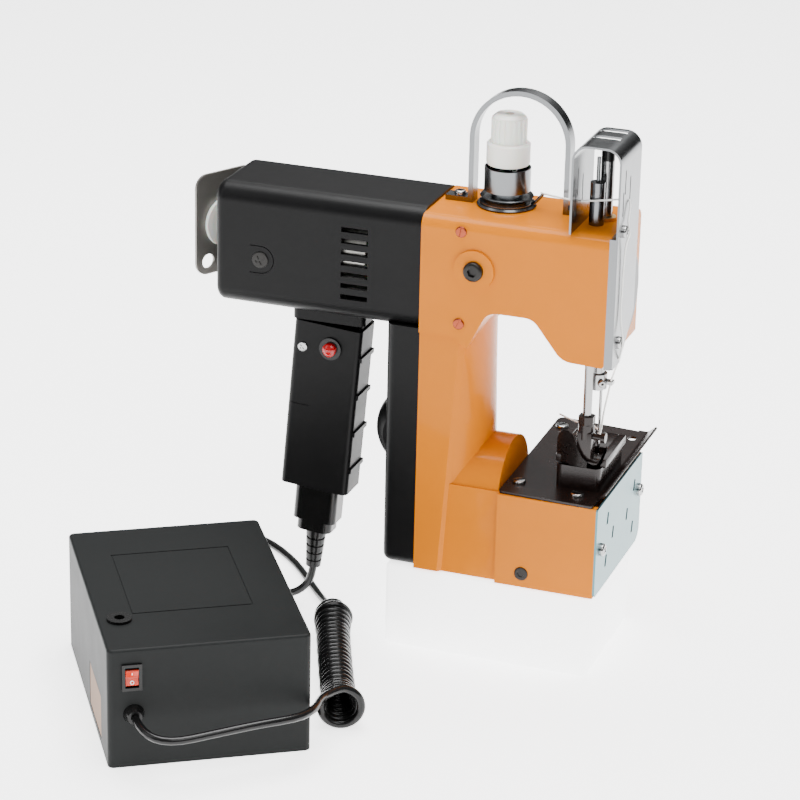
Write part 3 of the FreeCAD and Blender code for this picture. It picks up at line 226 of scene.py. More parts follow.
FINISHES: dict[str, Finish] = {
    "orange_enamel": Finish("orange_enamel", (0.55, 0.155, 0.0), 0.26, coat=0.10, specular=0.05,
                            coat_roughness=0.06, grain_scale=260.0, grain_depth=0.00006,
                            tone=0.035),
    "black_moulding": Finish("black_moulding", (0.0035, 0.0035, 0.0037), 0.38, mottle=0.14,
                             grain_scale=1500.0, grain_depth=0.00006, specular=0.12),
    "black_gloss": Finish("black_gloss", (0.005, 0.005, 0.005), 0.22, specular=0.25),
    "red_button": Finish("red_button", (0.36, 0.002, 0.005), 0.18, coat=0.3, specular=0.3),
    "red_rocker": Finish("red_rocker", (0.50, 0.022, 0.002), 0.22, coat=0.2, specular=0.3),
    "dark_insulator": Finish("dark_insulator", (0.03, 0.03, 0.03), 0.5),
    "black_rubber": Finish("black_rubber", (0.004, 0.004, 0.004), 0.24, coat=0.10, specular=0.22,
                           grain_scale=500.0, mottle=0.10),
    "electrical_steel": Finish("electrical_steel", (0.62, 0.61, 0.57), 0.34, 1.0,
                               grain=Grain.ALONG_Y),
    "white_nylon": Finish("white_nylon", (0.86, 0.86, 0.80), 0.38, subsurface=0.35,
                          tone=0.02),
    "bearing_bronze": Finish("bearing_bronze", (0.62, 0.42, 0.18), 0.35, 1.0),
    "bright_steel": Finish("bright_steel", (0.30, 0.30, 0.30), 0.20, 1.0, mottle=0.10,
                           grain=Grain.ALONG_Z),
    "blued_steel": Finish("blued_steel", (0.012, 0.007, 0.006), 0.26, 0.1, coat=0.06, specular=0.3,
                          coat_roughness=0.16, mottle=0.16, tone=0.16),
    "zinc_sheet": Finish("zinc_sheet", (0.075, 0.17, 0.185), 0.30, 0.85, mottle=0.10,
                         grain=Grain.ALONG_Y, tone=0.05),
    "dull_sheet": Finish("dull_sheet", (0.21, 0.20, 0.185), 0.42, 0.7, tone=0.10),
    "chrome": Finish("chrome", (0.165, 0.17, 0.175), 0.24, 1.0, mottle=0.10, tone=0.02,
                     grain_depth=0.000008, patch_scale=90.0),
    "zinc_screws": Finish("zinc_screws", (0.36, 0.36, 0.36), 0.20, 1.0),
    "copper_screws": Finish("copper_screws", (0.26, 0.05, 0.02), 0.24, 0.8),
    "black_screws": Finish("black_screws", (0.010, 0.009, 0.008), 0.30, 0.3, specular=0.3),
    "charcoal_case": Finish("charcoal_case", (0.0125, 0.0135, 0.0135), 0.46, mottle=0.10,
                            grain_scale=1800.0, grain_depth=0.00005, specular=0.08),
    "cell_wrap": Finish("cell_wrap", (0.03, 0.10, 0.35), 0.4),
    "paper_label": Finish("paper_label", (0.22, 0.11, 0.05), 0.6, tone=0.10),
    "white_mark": Finish("white_mark", (0.90, 0.88, 0.84), 0.4),
    "cotton_thread": Finish("cotton_thread", (0.90, 0.90, 0.87), 0.75, grain_scale=3000.0,
                            grain_depth=0.0001),
}


class Wardrobe:
    """Holds each finish's material, made once."""

    def __init__(self) -> None:
        """Start with no materials."""
        self.made: dict[str, bpy.types.Material] = {}

    def dress(self, obj: bpy.types.Object, finish: str) -> bpy.types.Object:
        """Give an object one finish and name its slot.

        Args:
            obj: The piece to dress.
            finish: The finish's name, which is the record's slot.

        Returns:
            The dressed piece.
        """
        if finish not in self.made:
            self.made[finish] = FINISHES[finish].material()
        obj.data.materials.clear()
        obj.data.materials.append(self.made[finish])
        return obj

    def dress_frame(self) -> None:
        """Dress every CAD node by the record's slots."""
        for part in frame["record"]["subparts"]:
            self.dress(frame["nodes"][part["node"]], part["material_slot"])


# ---------------------------------------------------------------- mesh tools


def to_object(name: str, mesh: bmesh.types.BMesh, smooth: float = 35.0) -> bpy.types.Object:
    """Make an object at the origin from a bmesh and free the bmesh.

    Args:
        name: The piece's name.
        mesh: The finished shape in the row frame.
        smooth: Edges flatter than this many degrees are shaded smooth.

    Returns:
        The new object, linked to the scene.
    """
    data = bpy.data.meshes.new(name)
    mesh.normal_update()
    mesh.to_mesh(data)
    mesh.free()
    data.shade_smooth()
    obj = bpy.data.objects.new(name, data)
    bpy.context.scene.collection.objects.link(obj)
    data.set_sharp_from_angle(angle=math.radians(smooth))
    return obj


def facing(point: Vector, outward: Vector) -> Matrix:
    """Matrix that takes local +Z to the outward direction at a point."""
    return Matrix.Translation(point) @ outward.to_track_quat("Z", "Y").to_matrix().to_4x4()


def curve_object(name: str, points: Sequence[Vector], radius: float, steps: int = 4,
                 sides: int = 3) -> bpy.types.Object:
    """Make one open NURBS spline with a round section.

    Args:
        name: The piece's name.
        points: Control points in the row frame.
        radius: The section's radius in metres.
        steps: Divisions between control points.
        sides: Bevel resolution of the section.

    Returns:
        The curve object.
    """
    curve = bpy.data.curves.new(name, "CURVE")
    curve.dimensions = "3D"
    curve.resolution_u = steps
    curve.bevel_depth = radius
    curve.bevel_resolution = sides
    curve.use_fill_caps = True
    spline = curve.splines.new("NURBS")
    spline.points.add(len(points) - 1)
    for knot, point in zip(spline.points, points):
        knot.co = (*point, 1.0)
    spline.order_u = 3
    spline.use_endpoint_u = True
    obj = bpy.data.objects.new(name, curve)
    bpy.context.scene.collection.objects.link(obj)
    return obj


def as_mesh(obj: bpy.types.Object) -> bpy.types.Object:
    """Replace a curve object by a mesh object of the same name."""
    bpy.context.view_layer.update()
    name = obj.name
    mesh = bpy.data.meshes.new_from_object(obj.evaluated_get(
        bpy.context.evaluated_depsgraph_get()))
    bpy.data.objects.remove(obj)
    made = bpy.data.objects.new(name, mesh)
    mesh.shade_smooth()
    bpy.context.scene.collection.objects.link(made)
    return made


# ---------------------------------------------------------------- camera, light and stage


@dataclass(frozen=True)
class SoftBox:
    """One rectangular light: place, the point it faces, width and height, and watts."""

    name: str
    at: tuple[float, float, float]
    aim: tuple[float, float, float]
    size: tuple[float, float]
    power: float

    def build(self) -> None:
        """Add the light to the stage."""
        data = bpy.data.lights.new(self.name, "AREA")
        data.shape = "RECTANGLE"
        data.size, data.size_y = self.size
        data.energy = self.power
        obj = bpy.data.objects.new(self.name, data)
        toward = Vector(self.aim) - Vector(self.at)
        obj.matrix_world = (Matrix.Translation(Vector(self.at))
                            @ toward.to_track_quat("-Z", "Y").to_matrix().to_4x4())
        bpy.context.scene.collection.objects.link(obj)


SOFT_BOXES = (
    SoftBox("key", (0.9, -1.3, 1.5), (0.0, 0.0, -0.15), (1.2, 1.2), 20.0),
    SoftBox("overhead", (-0.1, 0.15, 1.7), (-0.05, -0.05, -0.2), (1.5, 1.5), 95.0),
    SoftBox("left", (-1.3, -1.1, 0.7), (0.0, 0.0, -0.15), (0.9, 1.4), 8.0),
    SoftBox("back", (-0.3, 1.5, 1.2), (0.0, 0.0, -0.1), (1.4, 0.8), 9.0))


@dataclass
class Studio:
    """Camera, surround, floor and the plinth under the machine."""

    eye: tuple[float, float, float] = (0.4905, -1.593, 0.4743)
    yaw: float = 19.38
    pitch: float = 21.65
    roll: float = 1.33
    lens_mm: float = 137.51
    floor_half: float = 6.0
    plinth_low: tuple[float, float] = (-18.0, -31.0)
    plinth_high: tuple[float, float] = (108.0, 58.0)
    floor_glow: float = 2.6
    white: tuple[float, float, float] = (0.92, 0.92, 0.92)
    surround_strength: float = 0.45
    surround: tuple[tuple[float, float], ...] = (
        (0.0, 0.95), (0.40, 0.90), (0.47, 0.06), (0.60, 0.10), (0.70, 0.90), (1.0, 1.0))

    def camera(self) -> None:
        """Place the camera at the catalogue view."""
        yaw, pitch, roll = (math.radians(a) for a in (self.yaw, self.pitch, self.roll))
        ahead = Vector((-math.sin(yaw) * math.cos(pitch), math.cos(yaw) * math.cos(pitch),
                        -math.sin(pitch)))
        right = Vector((math.cos(yaw), math.sin(yaw), 0.0))
        up = right.cross(ahead)
        turned_right = right * math.cos(roll) + up * math.sin(roll)
        turned_up = up * math.cos(roll) - right * math.sin(roll)
        basis = Matrix((turned_right, turned_up, -ahead)).transposed().to_4x4()
        data = bpy.data.cameras.new("camera")
        data.lens = self.lens_mm
        data.sensor_width = 36.0
        data.clip_start, data.clip_end = 0.05, 50.0
        obj = bpy.data.objects.new("camera", data)
        obj.matrix_world = Matrix.Translation(Vector(self.eye)) @ basis
        bpy.context.scene.collection.objects.link(obj)
        bpy.context.scene.camera = obj

    def world(self) -> None:
        """Pale surround with a darker band near the horizon for the plated parts to mirror."""
        world = bpy.data.worlds.new("surround")
        world.use_nodes = True
        bpy.context.scene.world = world
        bench = NodeBench(world.node_tree)
        way = bench.node("ShaderNodeTexCoord", {}, {}, "Generated")
        height = bench.node("ShaderNodeSeparateXYZ", {}, {0: way}, "Z")
        ramp = bench.raw("ShaderNodeValToRGB", {}, {0: height * 0.5 + 0.5})
        while len(ramp.color_ramp.elements) < len(self.surround):
            ramp.color_ramp.elements.new(0.5)
        for element, (position, shade) in zip(ramp.color_ramp.elements, self.surround):
            element.position = position
            element.color = (shade, shade, shade, 1.0)
        glow = bench.raw("ShaderNodeBackground", {}, {
            0: ramp.outputs[0], 1: self.surround_strength})
        bench.raw("ShaderNodeOutputWorld", {}, {"Surface": glow.outputs[0]})

    def stage(self) -> None:
        """Pale floor, and a plinth whose top is level with the machine's underside."""
        pale = bpy.data.materials.new("pale_floor")
        pale.use_nodes = True
        shader = pale.node_tree.nodes["Principled BSDF"]
        shader.inputs["Base Color"].default_value = (*self.white, 1.0)
        shader.inputs["Roughness"].default_value = 0.7
        shader.inputs["Specular IOR Level"].default_value = 0.2
        shader.inputs["Emission Color"].default_value = (1.0, 1.0, 1.0, 1.0)
        shader.inputs["Emission Strength"].default_value = self.floor_glow
        ground = bmesh.new()
        bmesh.ops.create_grid(ground, x_segments=1, y_segments=1, size=self.floor_half,
                              matrix=Matrix.Translation(place(0, 0, FLOOR_MM)))
        plinth = bmesh.new()
        low = place(*self.plinth_low, FLOOR_MM)
        high = place(*self.plinth_high, -0.05)
        bmesh.ops.create_cube(plinth, size=1.0, matrix=Matrix.Translation((low + high) / 2)
                              @ Matrix.Diagonal((*(high - low), 1.0)))
        edges = [edge for edge in plinth.edges
                 if sum(vert.co.z for vert in edge.verts) / 2 > low.z + 0.001]
        bmesh.ops.bevel(plinth, geom=edges, offset=0.003, segments=4, profile=0.5,
                        affect="EDGES", material=-1)
        for name, mesh in (("floor", ground), ("plinth", plinth)):
            obj = to_object(name, mesh, 60.0)
            obj.data.materials.append(pale)

    def build(self) -> None:
        """Make the whole studio."""
        self.camera()
        self.world()
        self.stage()
        for box in SOFT_BOXES:
            box.build()
        log.info("studio ready")


# ---------------------------------------------------------------- cord


@dataclass
class PowerCord:
    """Curly lead from the pack's grommet to the connector under the grip."""

    radius_mm: float = 2.4
    coil_radius_mm: float = 8.0
    pitch_mm: float = 4.95
    points_per_turn: int = 14
    stretched_turns: float = 1.0
    stretched_mm: float = 15.0
    length_m: float = 1.83
    rear_flare_mm: float = 2.8
    front_flare_mm: float = 4.2
    flare_turns: float = 6.0
    start_turn: float = 0.25
    drawn_in: float = 0.25
    waviness: float = 0.02
    wave_rate: float = 2.1
    exit_mm: tuple[float, float, float] = (-90.49, -231.27, -19.6)
    front: list[tuple[float, float, float]] = field(default_factory=lambda: [
        (-84.8, -240.0, -20.5), (-72.9, -247.6, -22.8), (-60.1, -245.6, -23.5),
        (-45.2, -232.2, -22.5), (-24.0, -213.1, -21.0), (-6.5, -197.0, -21.5),
        (-3.5, -180.0, -23.0), (-7.0, -163.0, -25.0)])
    axis: list[tuple[float, float, float]] = field(default_factory=lambda: [
        (-1.0, -148.0, -41.6), (-31.0, -82.0, -41.6), (-54.0, -23.0, -41.6)])
    tail: list[tuple[float, float, float]] = field(default_factory=lambda: [
        (-60.5, -14.0, -43.5), (-71.0, 2.0, -47.5), (-87.0, 24.0, -49.4),
        (-107.0, 49.0, -49.4), (-133.0, 71.0, -49.4), (-160.0, 80.0, -49.4),
        (-184.0, 70.0, -49.4), (-194.0, 47.0, -49.4), (-184.0, 24.0, -49.4),
        (-162.0, 11.0, -49.4), (-136.0, 5.0, -49.4), (-114.0, 1.5, -49.2),
        (-98.0, -1.0, -48.4), (-87.0, -1.3, -45.6), (-79.3, -0.4, -38.6),
        (-76.3, 0.0, -30.5), (-75.3, 0.0, -22.0)])

    def axis_point(self, along: float) -> tuple[Vector, Vector]:
        """Point and direction on the coil's bent axis.

        Args:
            along: Distance from the coil's front end in millimetres.

        Returns:
            The point in machine millimetres and the unit direction.
        """
        first, bend, last = (Vector(point) for point in self.axis)
        share = min(1.0, max(0.0, along / self.axis_length()))
        point = first * (1 - share) ** 2 + bend * 2 * share * (1 - share) + last * share ** 2
        way = (bend - first) * (1 - share) + (last - bend) * share
        return point, way.normalized()

    def axis_length(self) -> float:
        """Length of the coil's axis in millimetres."""
        first, bend, last = (Vector(point) for point in self.axis)
        return ((bend - first).length + (last - bend).length + (last - first).length) / 2

    def flare(self, turn: float, turns: float) -> float:
        """How much wider than the middle the coil is at one turn, in millimetres."""
        front = max(0.0, 1.0 - turn / self.flare_turns)
        rear = max(0.0, 1.0 - (turns - turn) / self.flare_turns)
        return self.front_flare_mm * front ** 2 + self.rear_flare_mm * rear ** 2

    def helix(self) -> Iterator[Vector]:
        """Turns of the curly part, drawn out at the rear end.

        Yields:
            Points in machine millimetres.
        """
        total = self.axis_length()
        close = (total - self.stretched_mm) / self.pitch_mm
        turns = close + self.stretched_turns
        count = round(turns * self.points_per_turn)
        for index in range(count + 1):
            turn = turns * index / count
            left = turns - turn
            if left < self.stretched_turns:
                share = left / self.stretched_turns
                along = total - self.stretched_mm * (1 - (1 - share) ** 2)
                opening = math.sin(share * math.pi / 2)
                radius = self.coil_radius_mm * (self.drawn_in + (1 - self.drawn_in) * opening)
            else:
                along = turn * self.pitch_mm
                wave = self.waviness * math.sin(turn * self.wave_rate)
                radius = self.coil_radius_mm * (1 + wave)
            wider = self.flare(turn, turns)
            radius += wider * radius / self.coil_radius_mm
            centre, way = self.axis_point(along)
            centre.z += wider
            side = way.cross(Vector((0, 0, 1))).normalized()
            lift = side.cross(way)
            angle = 2 * math.pi * (self.start_turn - turn)
            yield centre + side * radius * math.cos(angle) + lift * radius * math.sin(angle)

    def build(self, wardrobe: Wardrobe) -> bpy.types.Object:
        """Args:
            wardrobe: The materials.

        Returns:
            The cord's curve.
        """
        route = [Vector(self.exit_mm)] + [Vector(point) for point in self.front]
        route += list(self.helix())
        route += [Vector(point) for point in self.tail]
        points = [place(*point) for point in route]
        cord = curve_object("power_cord", points, self.radius_mm / 1000.0, 3, 3)
        wardrobe.dress(cord, "black_rubber")
        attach(cord, "machine")
        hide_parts("cord_front", "cord_coil", "cord_tail")
        log.info("cord with %d points", len(points))
        return cord


# ---------------------------------------------------------------- fasteners


class Drive(Enum):
    """Recess in a screw head."""

    PHILLIPS = "phillips"
    SLOT = "slot"
    HEX = "hex"


@dataclass(frozen=True)
class Head:
    """One screw head, in machine millimetres."""

    seat: tuple[float, float, float]
    outward: tuple[float, float, float]
    radius: float
    height: float
    drive: Drive
    angle: float = 20.0


@dataclass
class ScrewSet:
    """Screw heads of one finish, joined in one piece that stands for a CAD node."""

    name: str
    node: str
    finish: str
    heads: list[Head]
    sides: int = 32
    dome: float = 0.55
    recess: float = 0.6
    hex_reach: float = 0.5
    cross_reach: float = 1.15
    slot_reach: float = 2.4
    slot_width: float = 0.28

    def blank(self, head: Head) -> bpy.types.Object:
        """Round head with a rounded rim, at the origin along +Z."""
        mesh = bmesh.new()
        bmesh.ops.create_cone(mesh, cap_ends=True, segments=self.sides, radius1=head.radius,
                              radius2=head.radius, depth=head.height,
                              matrix=Matrix.Translation((0, 0, head.height / 2)))
        rim = [edge for edge in mesh.edges
               if all(vert.co.z > head.height * 0.9 for vert in edge.verts)]
        bmesh.ops.bevel(mesh, geom=rim, offset=min(head.height, head.radius) * self.dome,
                        segments=5, profile=0.5, affect="EDGES", material=-1)
        return to_object("blank", mesh)

    def cutter(self, head: Head) -> bpy.types.Object:
        """Tool that leaves the recess."""
        mesh = bmesh.new()
        depth = head.height * self.recess
        lift = Matrix.Translation((0, 0, head.height + 0.01))
        spin = Matrix.Rotation(math.radians(head.angle), 4, "Z")
        if head.drive is Drive.HEX:
            bmesh.ops.create_cone(mesh, cap_ends=True, segments=6, depth=depth * 2,
                                  radius1=head.radius * self.hex_reach,
                                  radius2=head.radius * self.hex_reach, matrix=spin @ lift)
        else:
            arms = 2 if head.drive is Drive.PHILLIPS else 1
            reach = head.radius * (self.cross_reach if arms == 2 else self.slot_reach)
            for arm in range(arms):
                turn = Matrix.Rotation(math.pi / 2 * arm, 4, "Z")
                width = head.radius * self.slot_width
                size = Matrix.Diagonal((reach, width, depth * 2, 1.0))
                bmesh.ops.create_cube(mesh, size=1.0, matrix=spin @ lift @ turn @ size)
        return to_object("cutter", mesh)

    def build(self, wardrobe: Wardrobe) -> bpy.types.Object:
        """Cut every recess, put the heads in place and join them."""
        joined = bmesh.new()
        for head in self.heads:
            blank, cutter = self.blank(head), self.cutter(head)
            cut = blank.modifiers.new("recess", "BOOLEAN")
            cut.operation = "DIFFERENCE"
            cut.solver = "EXACT"
            cut.use_self = True
            cut.object = cutter
            bpy.context.view_layer.update()
            mesh = bpy.data.meshes.new_from_object(
                blank.evaluated_get(bpy.context.evaluated_depsgraph_get()))
            scale = Matrix.Diagonal((0.001, 0.001, 0.001, 1.0))
            mesh.transform(facing(place(*head.seat), Vector(head.outward)) @ scale)
            joined.from_mesh(mesh)
            bpy.data.objects.remove(blank)
            bpy.data.objects.remove(cutter)
        piece = to_object(self.name, joined, 40.0)
        wardrobe.dress(piece, self.finish)
        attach(piece, "machine")
        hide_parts(self.node)
        log.info("%s: %d heads", self.name, len(self.heads))
        return piece


def screw_sets() -> list[ScrewSet]:
    """Every visible fastener, grouped by finish."""
    up, out, left, front = (0, 0, 1), (1, 0, 0), (-1, 0, 0), (0, -1, 0)
    tilt = math.radians(4.5)
    grip = Matrix.Rotation(tilt, 3, "Y")
    pivot = Vector((-62.6, 0, 143))
    grip_seat = grip @ (Vector((-77.0, -14.0, 121.0)) - pivot) + pivot
    pans = [Head((58.5, -15.3, 58.0), up, 4.0, 2.0, Drive.SLOT, 35.0),
            Head((95.5, -20.5, 58.0), up, 4.0, 2.0, Drive.SLOT, -20.0),
            Head((56.5, 76.8, 58.0), up, 4.0, 2.0, Drive.SLOT, 60.0),
            Head((10.5, 4.0, 223.0), up, 3.4, 2.4, Drive.PHILLIPS, 30.0),
            Head((82.0, 4.0, 223.0), up, 3.4, 2.4, Drive.PHILLIPS, 10.0),
            Head((115.7, -22.0, 222.0), out, 3.6, 2.2, Drive.PHILLIPS, 25.0),
            Head((115.7, -22.0, 156.0), out, 3.6, 2.2, Drive.PHILLIPS, 70.0),
            Head((112.0, 56.0, 34.0), out, 3.8, 2.6, Drive.PHILLIPS, 15.0),
            Head((112.0, -23.4, 27.6), out, 3.8, 2.6, Drive.PHILLIPS, 40.0),
            Head((-130.0, 24.2, 203.0), left, 3.2, 1.8, Drive.PHILLIPS, 10.0),
            Head((-130.0, 24.2, 167.0), left, 3.2, 1.8, Drive.PHILLIPS, 50.0),
            Head(tuple(grip_seat), front, 3.0, 1.0, Drive.PHILLIPS, 40.0)]
    coppers = [Head((24.0, -33.0, 213.0), front, 3.3, 1.2, Drive.SLOT, 80.0),
               Head((24.0, -33.0, 157.7), front, 3.3, 1.2, Drive.SLOT, 65.0)]
    blacks = [Head((32.4, -34.6, 191.0), front, 5.8, 3.0, Drive.HEX),
              Head((67.3, -33.7, 8.6), front, 4.1, 0.8, Drive.HEX),
              Head((-99.5, -30.2, 178.5), front, 5.0, 0.8, Drive.PHILLIPS, 25.0)]
    return [ScrewSet("plated_screws", "pan_screws", "zinc_screws", pans),
            ScrewSet("copper_flange_screws", "flange_screws", "copper_screws", coppers),
            ScrewSet("black_oxide_screws", "socket_screws", "black_screws", blacks)]


# ---------------------------------------------------------------- thread and tension spring


@dataclass
class SewingThread:
    """White thread from the tension hook over the guard to the needle."""

    radius_mm: float = 0.55
    guard_face_mm: float = 116.3

    def build(self, wardrobe: Wardrobe) -> None:
        """Make the three stretches of thread and the loose tails."""
        x = self.guard_face_mm
        upper = [(59.5, 2.0, 230.3), (70.0, -5.0, 231.5), (84.0, -13.0, 233.5),
                 (88.6, -15.4, 234.5), (102.0, -15.0, 236.5), (113.0, -14.6, 238.5),
                 (x, -14.8, 239.0), (x + 0.9, -16.5, 235.0), (x + 0.8, -20.0, 226.5),
                 (x + 3.4, -21.8, 222.0), (x + 0.8, -22.6, 215.0), (x + 0.3, -23.2, 190.0),
                 (x + 0.3, -23.6, 168.0), (x + 3.2, -22.4, 156.0), (x - 0.2, -20.0, 146.0)]
        lower = [(x - 0.2, -20.0, 146.0), (113.0, -13.0, 138.0), (109.0, -5.0, 129.0),
                 (106.2, 1.5, 122.5)]
        needle = [(106.2, 1.5, 122.5), (104.9, 1.0, 114.0), (103.1, 0.6, 104.0),
                  (102.4, -0.4, 93.0), (101.2, -0.9, 87.4), (100.6, -0.6, 86.0),
                  (100.4, 0.9, 88.0), (100.8, 1.4, 92.0)]
        tail = [(94.0, 24.0, 82.0), (88.0, 30.0, 82.5), (78.0, 34.0, 80.0), (66.0, 37.0, 83.0)]
        pieces = (("thread_over_guard", upper, "machine"), ("thread_to_clamp", lower, ""),
                  ("thread_at_needle", needle, "needle_bar"), ("thread_tail", tail, "presser"))
        for name, route, body in pieces:
            points = [place(*point) for point in route]
            piece = as_mesh(curve_object(name, points, self.radius_mm / 1000.0, 8, 2))
            wardrobe.dress(piece, "cotton_thread")
            if body:
                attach(piece, body)
            else:
                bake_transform(piece)
        log.info("thread in %d stretches", len(pieces))


@dataclass
class CupSpring:
    """Wire spring that shows inside the tension cup."""

    centre: tuple[float, float] = (38.6, 4.0)
    low_mm: float = 226.4
    high_mm: float = 244.0
    turns: int = 6
    wire_mm: float = 0.7
    radius_mm: float = 5.3
    per_turn: int = 14

    def build(self, wardrobe: Wardrobe) -> bpy.types.Object:
        """Wind the spring and let it stand for the plain sleeve."""
        count = self.turns * self.per_turn
        points = []
        for index in range(count + 1):
            angle = 2 * math.pi * index / self.per_turn
            height = self.low_mm + 0.8 + (self.high_mm - self.low_mm - 1.6) * index / count
            points.append(place(self.centre[0] + self.radius_mm * math.cos(angle),
                                self.centre[1] + self.radius_mm * math.sin(angle), height))
        piece = as_mesh(curve_object("cup_spring", points, self.wire_mm / 1000.0, 3, 2))
        wardrobe.dress(piece, "bright_steel")
        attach(piece, "machine")
        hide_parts("tension_spring")
        log.info("cup spring with %d turns", self.turns)
        return piece


# ---------------------------------------------------------------- battery pack detail


@dataclass
class PresserFoot:
    """Pressed foot: curled wing and V lip in front, sole, hinge block, socket and screw."""

    sheet_mm: float = 1.8
    front_mm: float = -16.0
    curl_from_mm: float = 97.0
    curl: float = 0.018
    lip: list[tuple[float, float, float]] = field(default_factory=lambda: [
        (79.0, 74.2, 87.5), (80.5, 74.0, 91.5), (83.0, 74.0, 94.0), (86.5, 74.0, 94.6),
        (89.5, 74.0, 93.0), (91.5, 74.0, 89.0), (93.5, 74.0, 84.0), (96.0, 74.0, 80.0),
        (99.0, 73.9, 77.6), (102.5, 73.7, 76.2), (105.0, 73.8, 77.0), (107.0, 76.0, 80.5),
        (109.0, 81.5, 86.0), (110.5, 86.5, 90.0)])
    blocks: list[tuple[float, ...]] = field(default_factory=lambda: [
        (79, 97, -12, 30, 73.6, 79.0), (104.4, 109.5, -12, 30, 73.6, 79.0),
        (96, 105, -12, -4, 73.6, 79.0), (96, 105, 6.5, 30, 73.6, 79.0),
        (91.5, 100.5, -14, -5.2, 78.0, 95.0)])
    easing_mm: float = 0.8
    studs: list[tuple[tuple[float, float, float], tuple[int, int, int], float, float, int]] = (
        field(default_factory=lambda: [
            ((96.0, -9.5, 90.0), (0, 0, 1), 4.8, 9.0, 32),
            ((96.0, -9.5, 99.0), (0, 0, 1), 5.1, 5.0, 6),
            ((100.0, -10.5, 92.0), (1, 0, 0), 1.8, 6.0, 32),
            ((105.5, -10.5, 92.0), (1, 0, 0), 3.0, 2.6, 32)]))

    def strip(self, mesh: bmesh.types.BMesh) -> None:
        """Add the curled front strip, from stations of x, lower and upper height."""
        pairs = []
        for x, low, high in self.lip:
            y = self.front_mm + self.curl * max(0.0, self.curl_from_mm - x) ** 2
            pairs.append([mesh.verts.new(place(x, y, z)) for z in (low, high)])
        faces = [mesh.faces.new((first[0], second[0], second[1], first[1]))
                 for first, second in zip(pairs, pairs[1:])]
        bmesh.ops.solidify(mesh, geom=faces, thickness=self.sheet_mm / 1000.0)

    def block(self, mesh: bmesh.types.BMesh, sides: tuple[float, ...]) -> None:
        """Add one block with eased edges, given by its limits in x, y and z."""
        low, high = place(*sides[0::2]), place(*sides[1::2])
        made = bmesh.ops.create_cube(mesh, size=1.0, matrix=Matrix.Translation((low + high) / 2)
                                     @ Matrix.Diagonal((*(high - low), 1.0)))
        edges = list({edge for vert in made["verts"] for edge in vert.link_edges})
        bmesh.ops.bevel(mesh, geom=edges, offset=self.easing_mm / 1000.0, segments=2, profile=0.5,
                        affect="EDGES", material=-1)

    def stud(self, mesh: bmesh.types.BMesh, seat: tuple[float, float, float],
             outward: tuple[float, float, float], radius: float, length: float,
             sides: int) -> None:
        """Add one round or hexagonal stud, given by its seat, direction and sizes."""
        scale = Matrix.Diagonal((0.001, 0.001, 0.001, 1.0))
        bmesh.ops.create_cone(mesh, cap_ends=True, segments=sides, radius1=radius,
                              radius2=radius, depth=length,
                              matrix=facing(place(*seat), Vector(outward)) @ scale
                              @ Matrix.Translation((0, 0, length / 2)))

    def build(self, wardrobe: Wardrobe) -> bpy.types.Object:
        """Make the foot and let it stand for the plain one."""
        mesh = bmesh.new()
        self.strip(mesh)
        for sides in self.blocks:
            self.block(mesh, sides)
        for measures in self.studs:
            self.stud(mesh, *measures)
        piece = wardrobe.dress(to_object("pressed_foot", mesh, 30.0), "blued_steel")
        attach(piece, "presser")
        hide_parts("presser_foot")
        log.info("foot from %d blocks and %d studs", len(self.blocks), len(self.studs))
        return piece


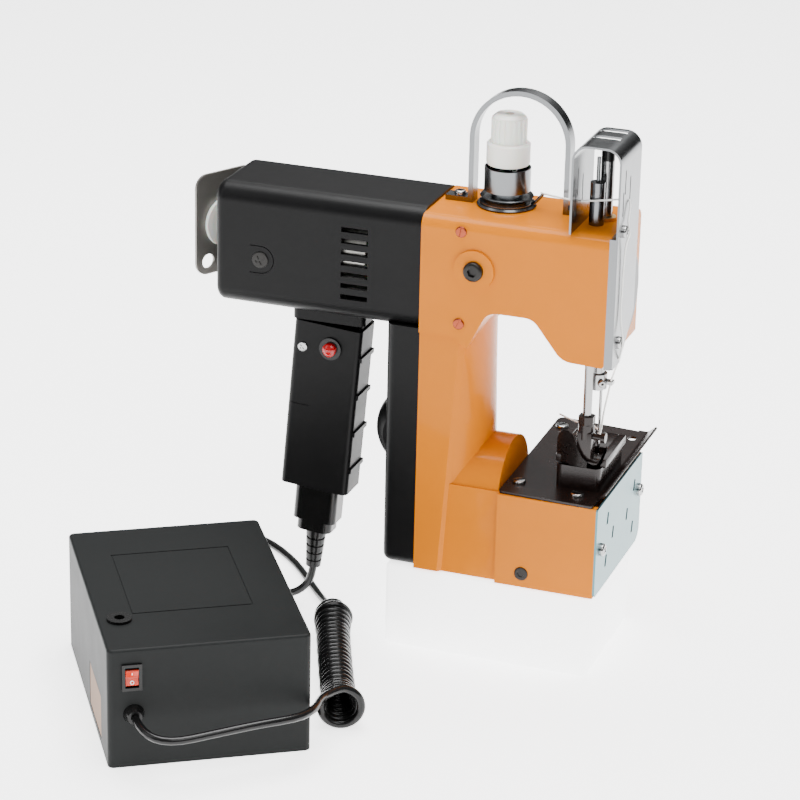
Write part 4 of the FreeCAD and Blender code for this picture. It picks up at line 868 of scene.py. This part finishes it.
@dataclass
class PackDetail:
    """Blank label and the rocker's generic marks, in the pack's own directions."""

    corner: tuple[float, float, float] = (-103.1, -238.3, FLOOR_MM)
    turn: float = 33.12
    rocker: tuple[float, float] = (13.5, 55.0)
    label_low: tuple[float, float] = (27.8, 4.8)
    label_high: tuple[float, float] = (71.2, 30.2)
    label_face: tuple[float, float] = (0.12, 0.4)
    ring_radius: float = 1.15
    ring_hole: float = 0.62
    ring_thick: float = 0.12
    ring_place: tuple[float, float] = (-1.05, -2.9)
    ring_lean: float = -12.0
    stroke_place: tuple[float, float] = (-1.62, 2.5)
    stroke_size: tuple[float, float, float] = (0.4, 0.2, 1.7)
    stroke_lean: float = 24.0

    def matrix(self) -> Matrix:
        """Place of the pack, from its own millimetres to the row frame."""
        scale = Matrix.Diagonal((0.001, 0.001, 0.001, 1.0))
        return (Matrix.Translation(place(*self.corner))
                @ Matrix.Rotation(math.radians(self.turn), 4, "Z") @ scale)

    def label(self, wardrobe: Wardrobe) -> None:
        """Blank brown label on the side."""
        mesh = bmesh.new()
        low = Vector((self.label_face[0], *self.label_low))
        high = Vector((self.label_face[1], *self.label_high))
        bmesh.ops.create_cube(mesh, size=1.0, matrix=self.matrix()
                              @ Matrix.Translation((low + high) / 2)
                              @ Matrix.Diagonal((*(high - low), 1.0)))
        piece = wardrobe.dress(to_object("blank_label", mesh), "paper_label")
        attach(piece, "machine")

    def marks(self, wardrobe: Wardrobe) -> None:
        """Stroke and ring on the rocker's two halves."""
        x, z = self.rocker
        mesh = bmesh.new()
        ring = bmesh.ops.create_circle(mesh, cap_ends=False, segments=20,
                                       radius=self.ring_radius,
                                       matrix=Matrix.Rotation(math.pi / 2, 4, "X"))
        sweep = bmesh.ops.extrude_edge_only(
            mesh, edges=list({edge for vert in ring["verts"] for edge in vert.link_edges}))
        inner = [item for item in sweep["geom"] if isinstance(item, bmesh.types.BMVert)]
        bmesh.ops.scale(mesh, vec=(self.ring_hole, 1.0, self.ring_hole), verts=inner)
        bmesh.ops.solidify(mesh, geom=list(mesh.faces), thickness=self.ring_thick)
        lean = Matrix.Rotation(math.radians(self.ring_lean), 4, "X")
        back, drop = self.ring_place
        bmesh.ops.transform(mesh, verts=mesh.verts, matrix=self.matrix()
                            @ Matrix.Translation((x, back, z + drop)) @ lean)
        ring_piece = wardrobe.dress(to_object("off_mark", mesh), "white_mark")
        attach(ring_piece, "rocker")
        stroke = bmesh.new()
        back, rise = self.stroke_place
        bmesh.ops.create_cube(stroke, size=1.0, matrix=self.matrix()
                              @ Matrix.Translation((x, back, z + rise))
                              @ Matrix.Rotation(math.radians(self.stroke_lean), 4, "X")
                              @ Matrix.Diagonal((*self.stroke_size, 1.0)))
        stroke_piece = wardrobe.dress(to_object("on_mark", stroke), "white_mark")
        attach(stroke_piece, "rocker")

    def build(self, wardrobe: Wardrobe) -> None:
        """Make the label and the marks."""
        self.label(wardrobe)
        self.marks(wardrobe)
        log.info("pack detail ready")


def main() -> None:
    """Build the studio, dress the frame and add every piece."""
    logging.basicConfig(level=logging.INFO)
    Studio().build()
    wardrobe = Wardrobe()
    wardrobe.dress_frame()
    PowerCord().build(wardrobe)
    for screws in screw_sets():
        screws.build(wardrobe)
    CupSpring().build(wardrobe)
    SewingThread().build(wardrobe)
    PresserFoot().build(wardrobe)
    PackDetail().build(wardrobe)


if __name__ == "__main__":
    main()
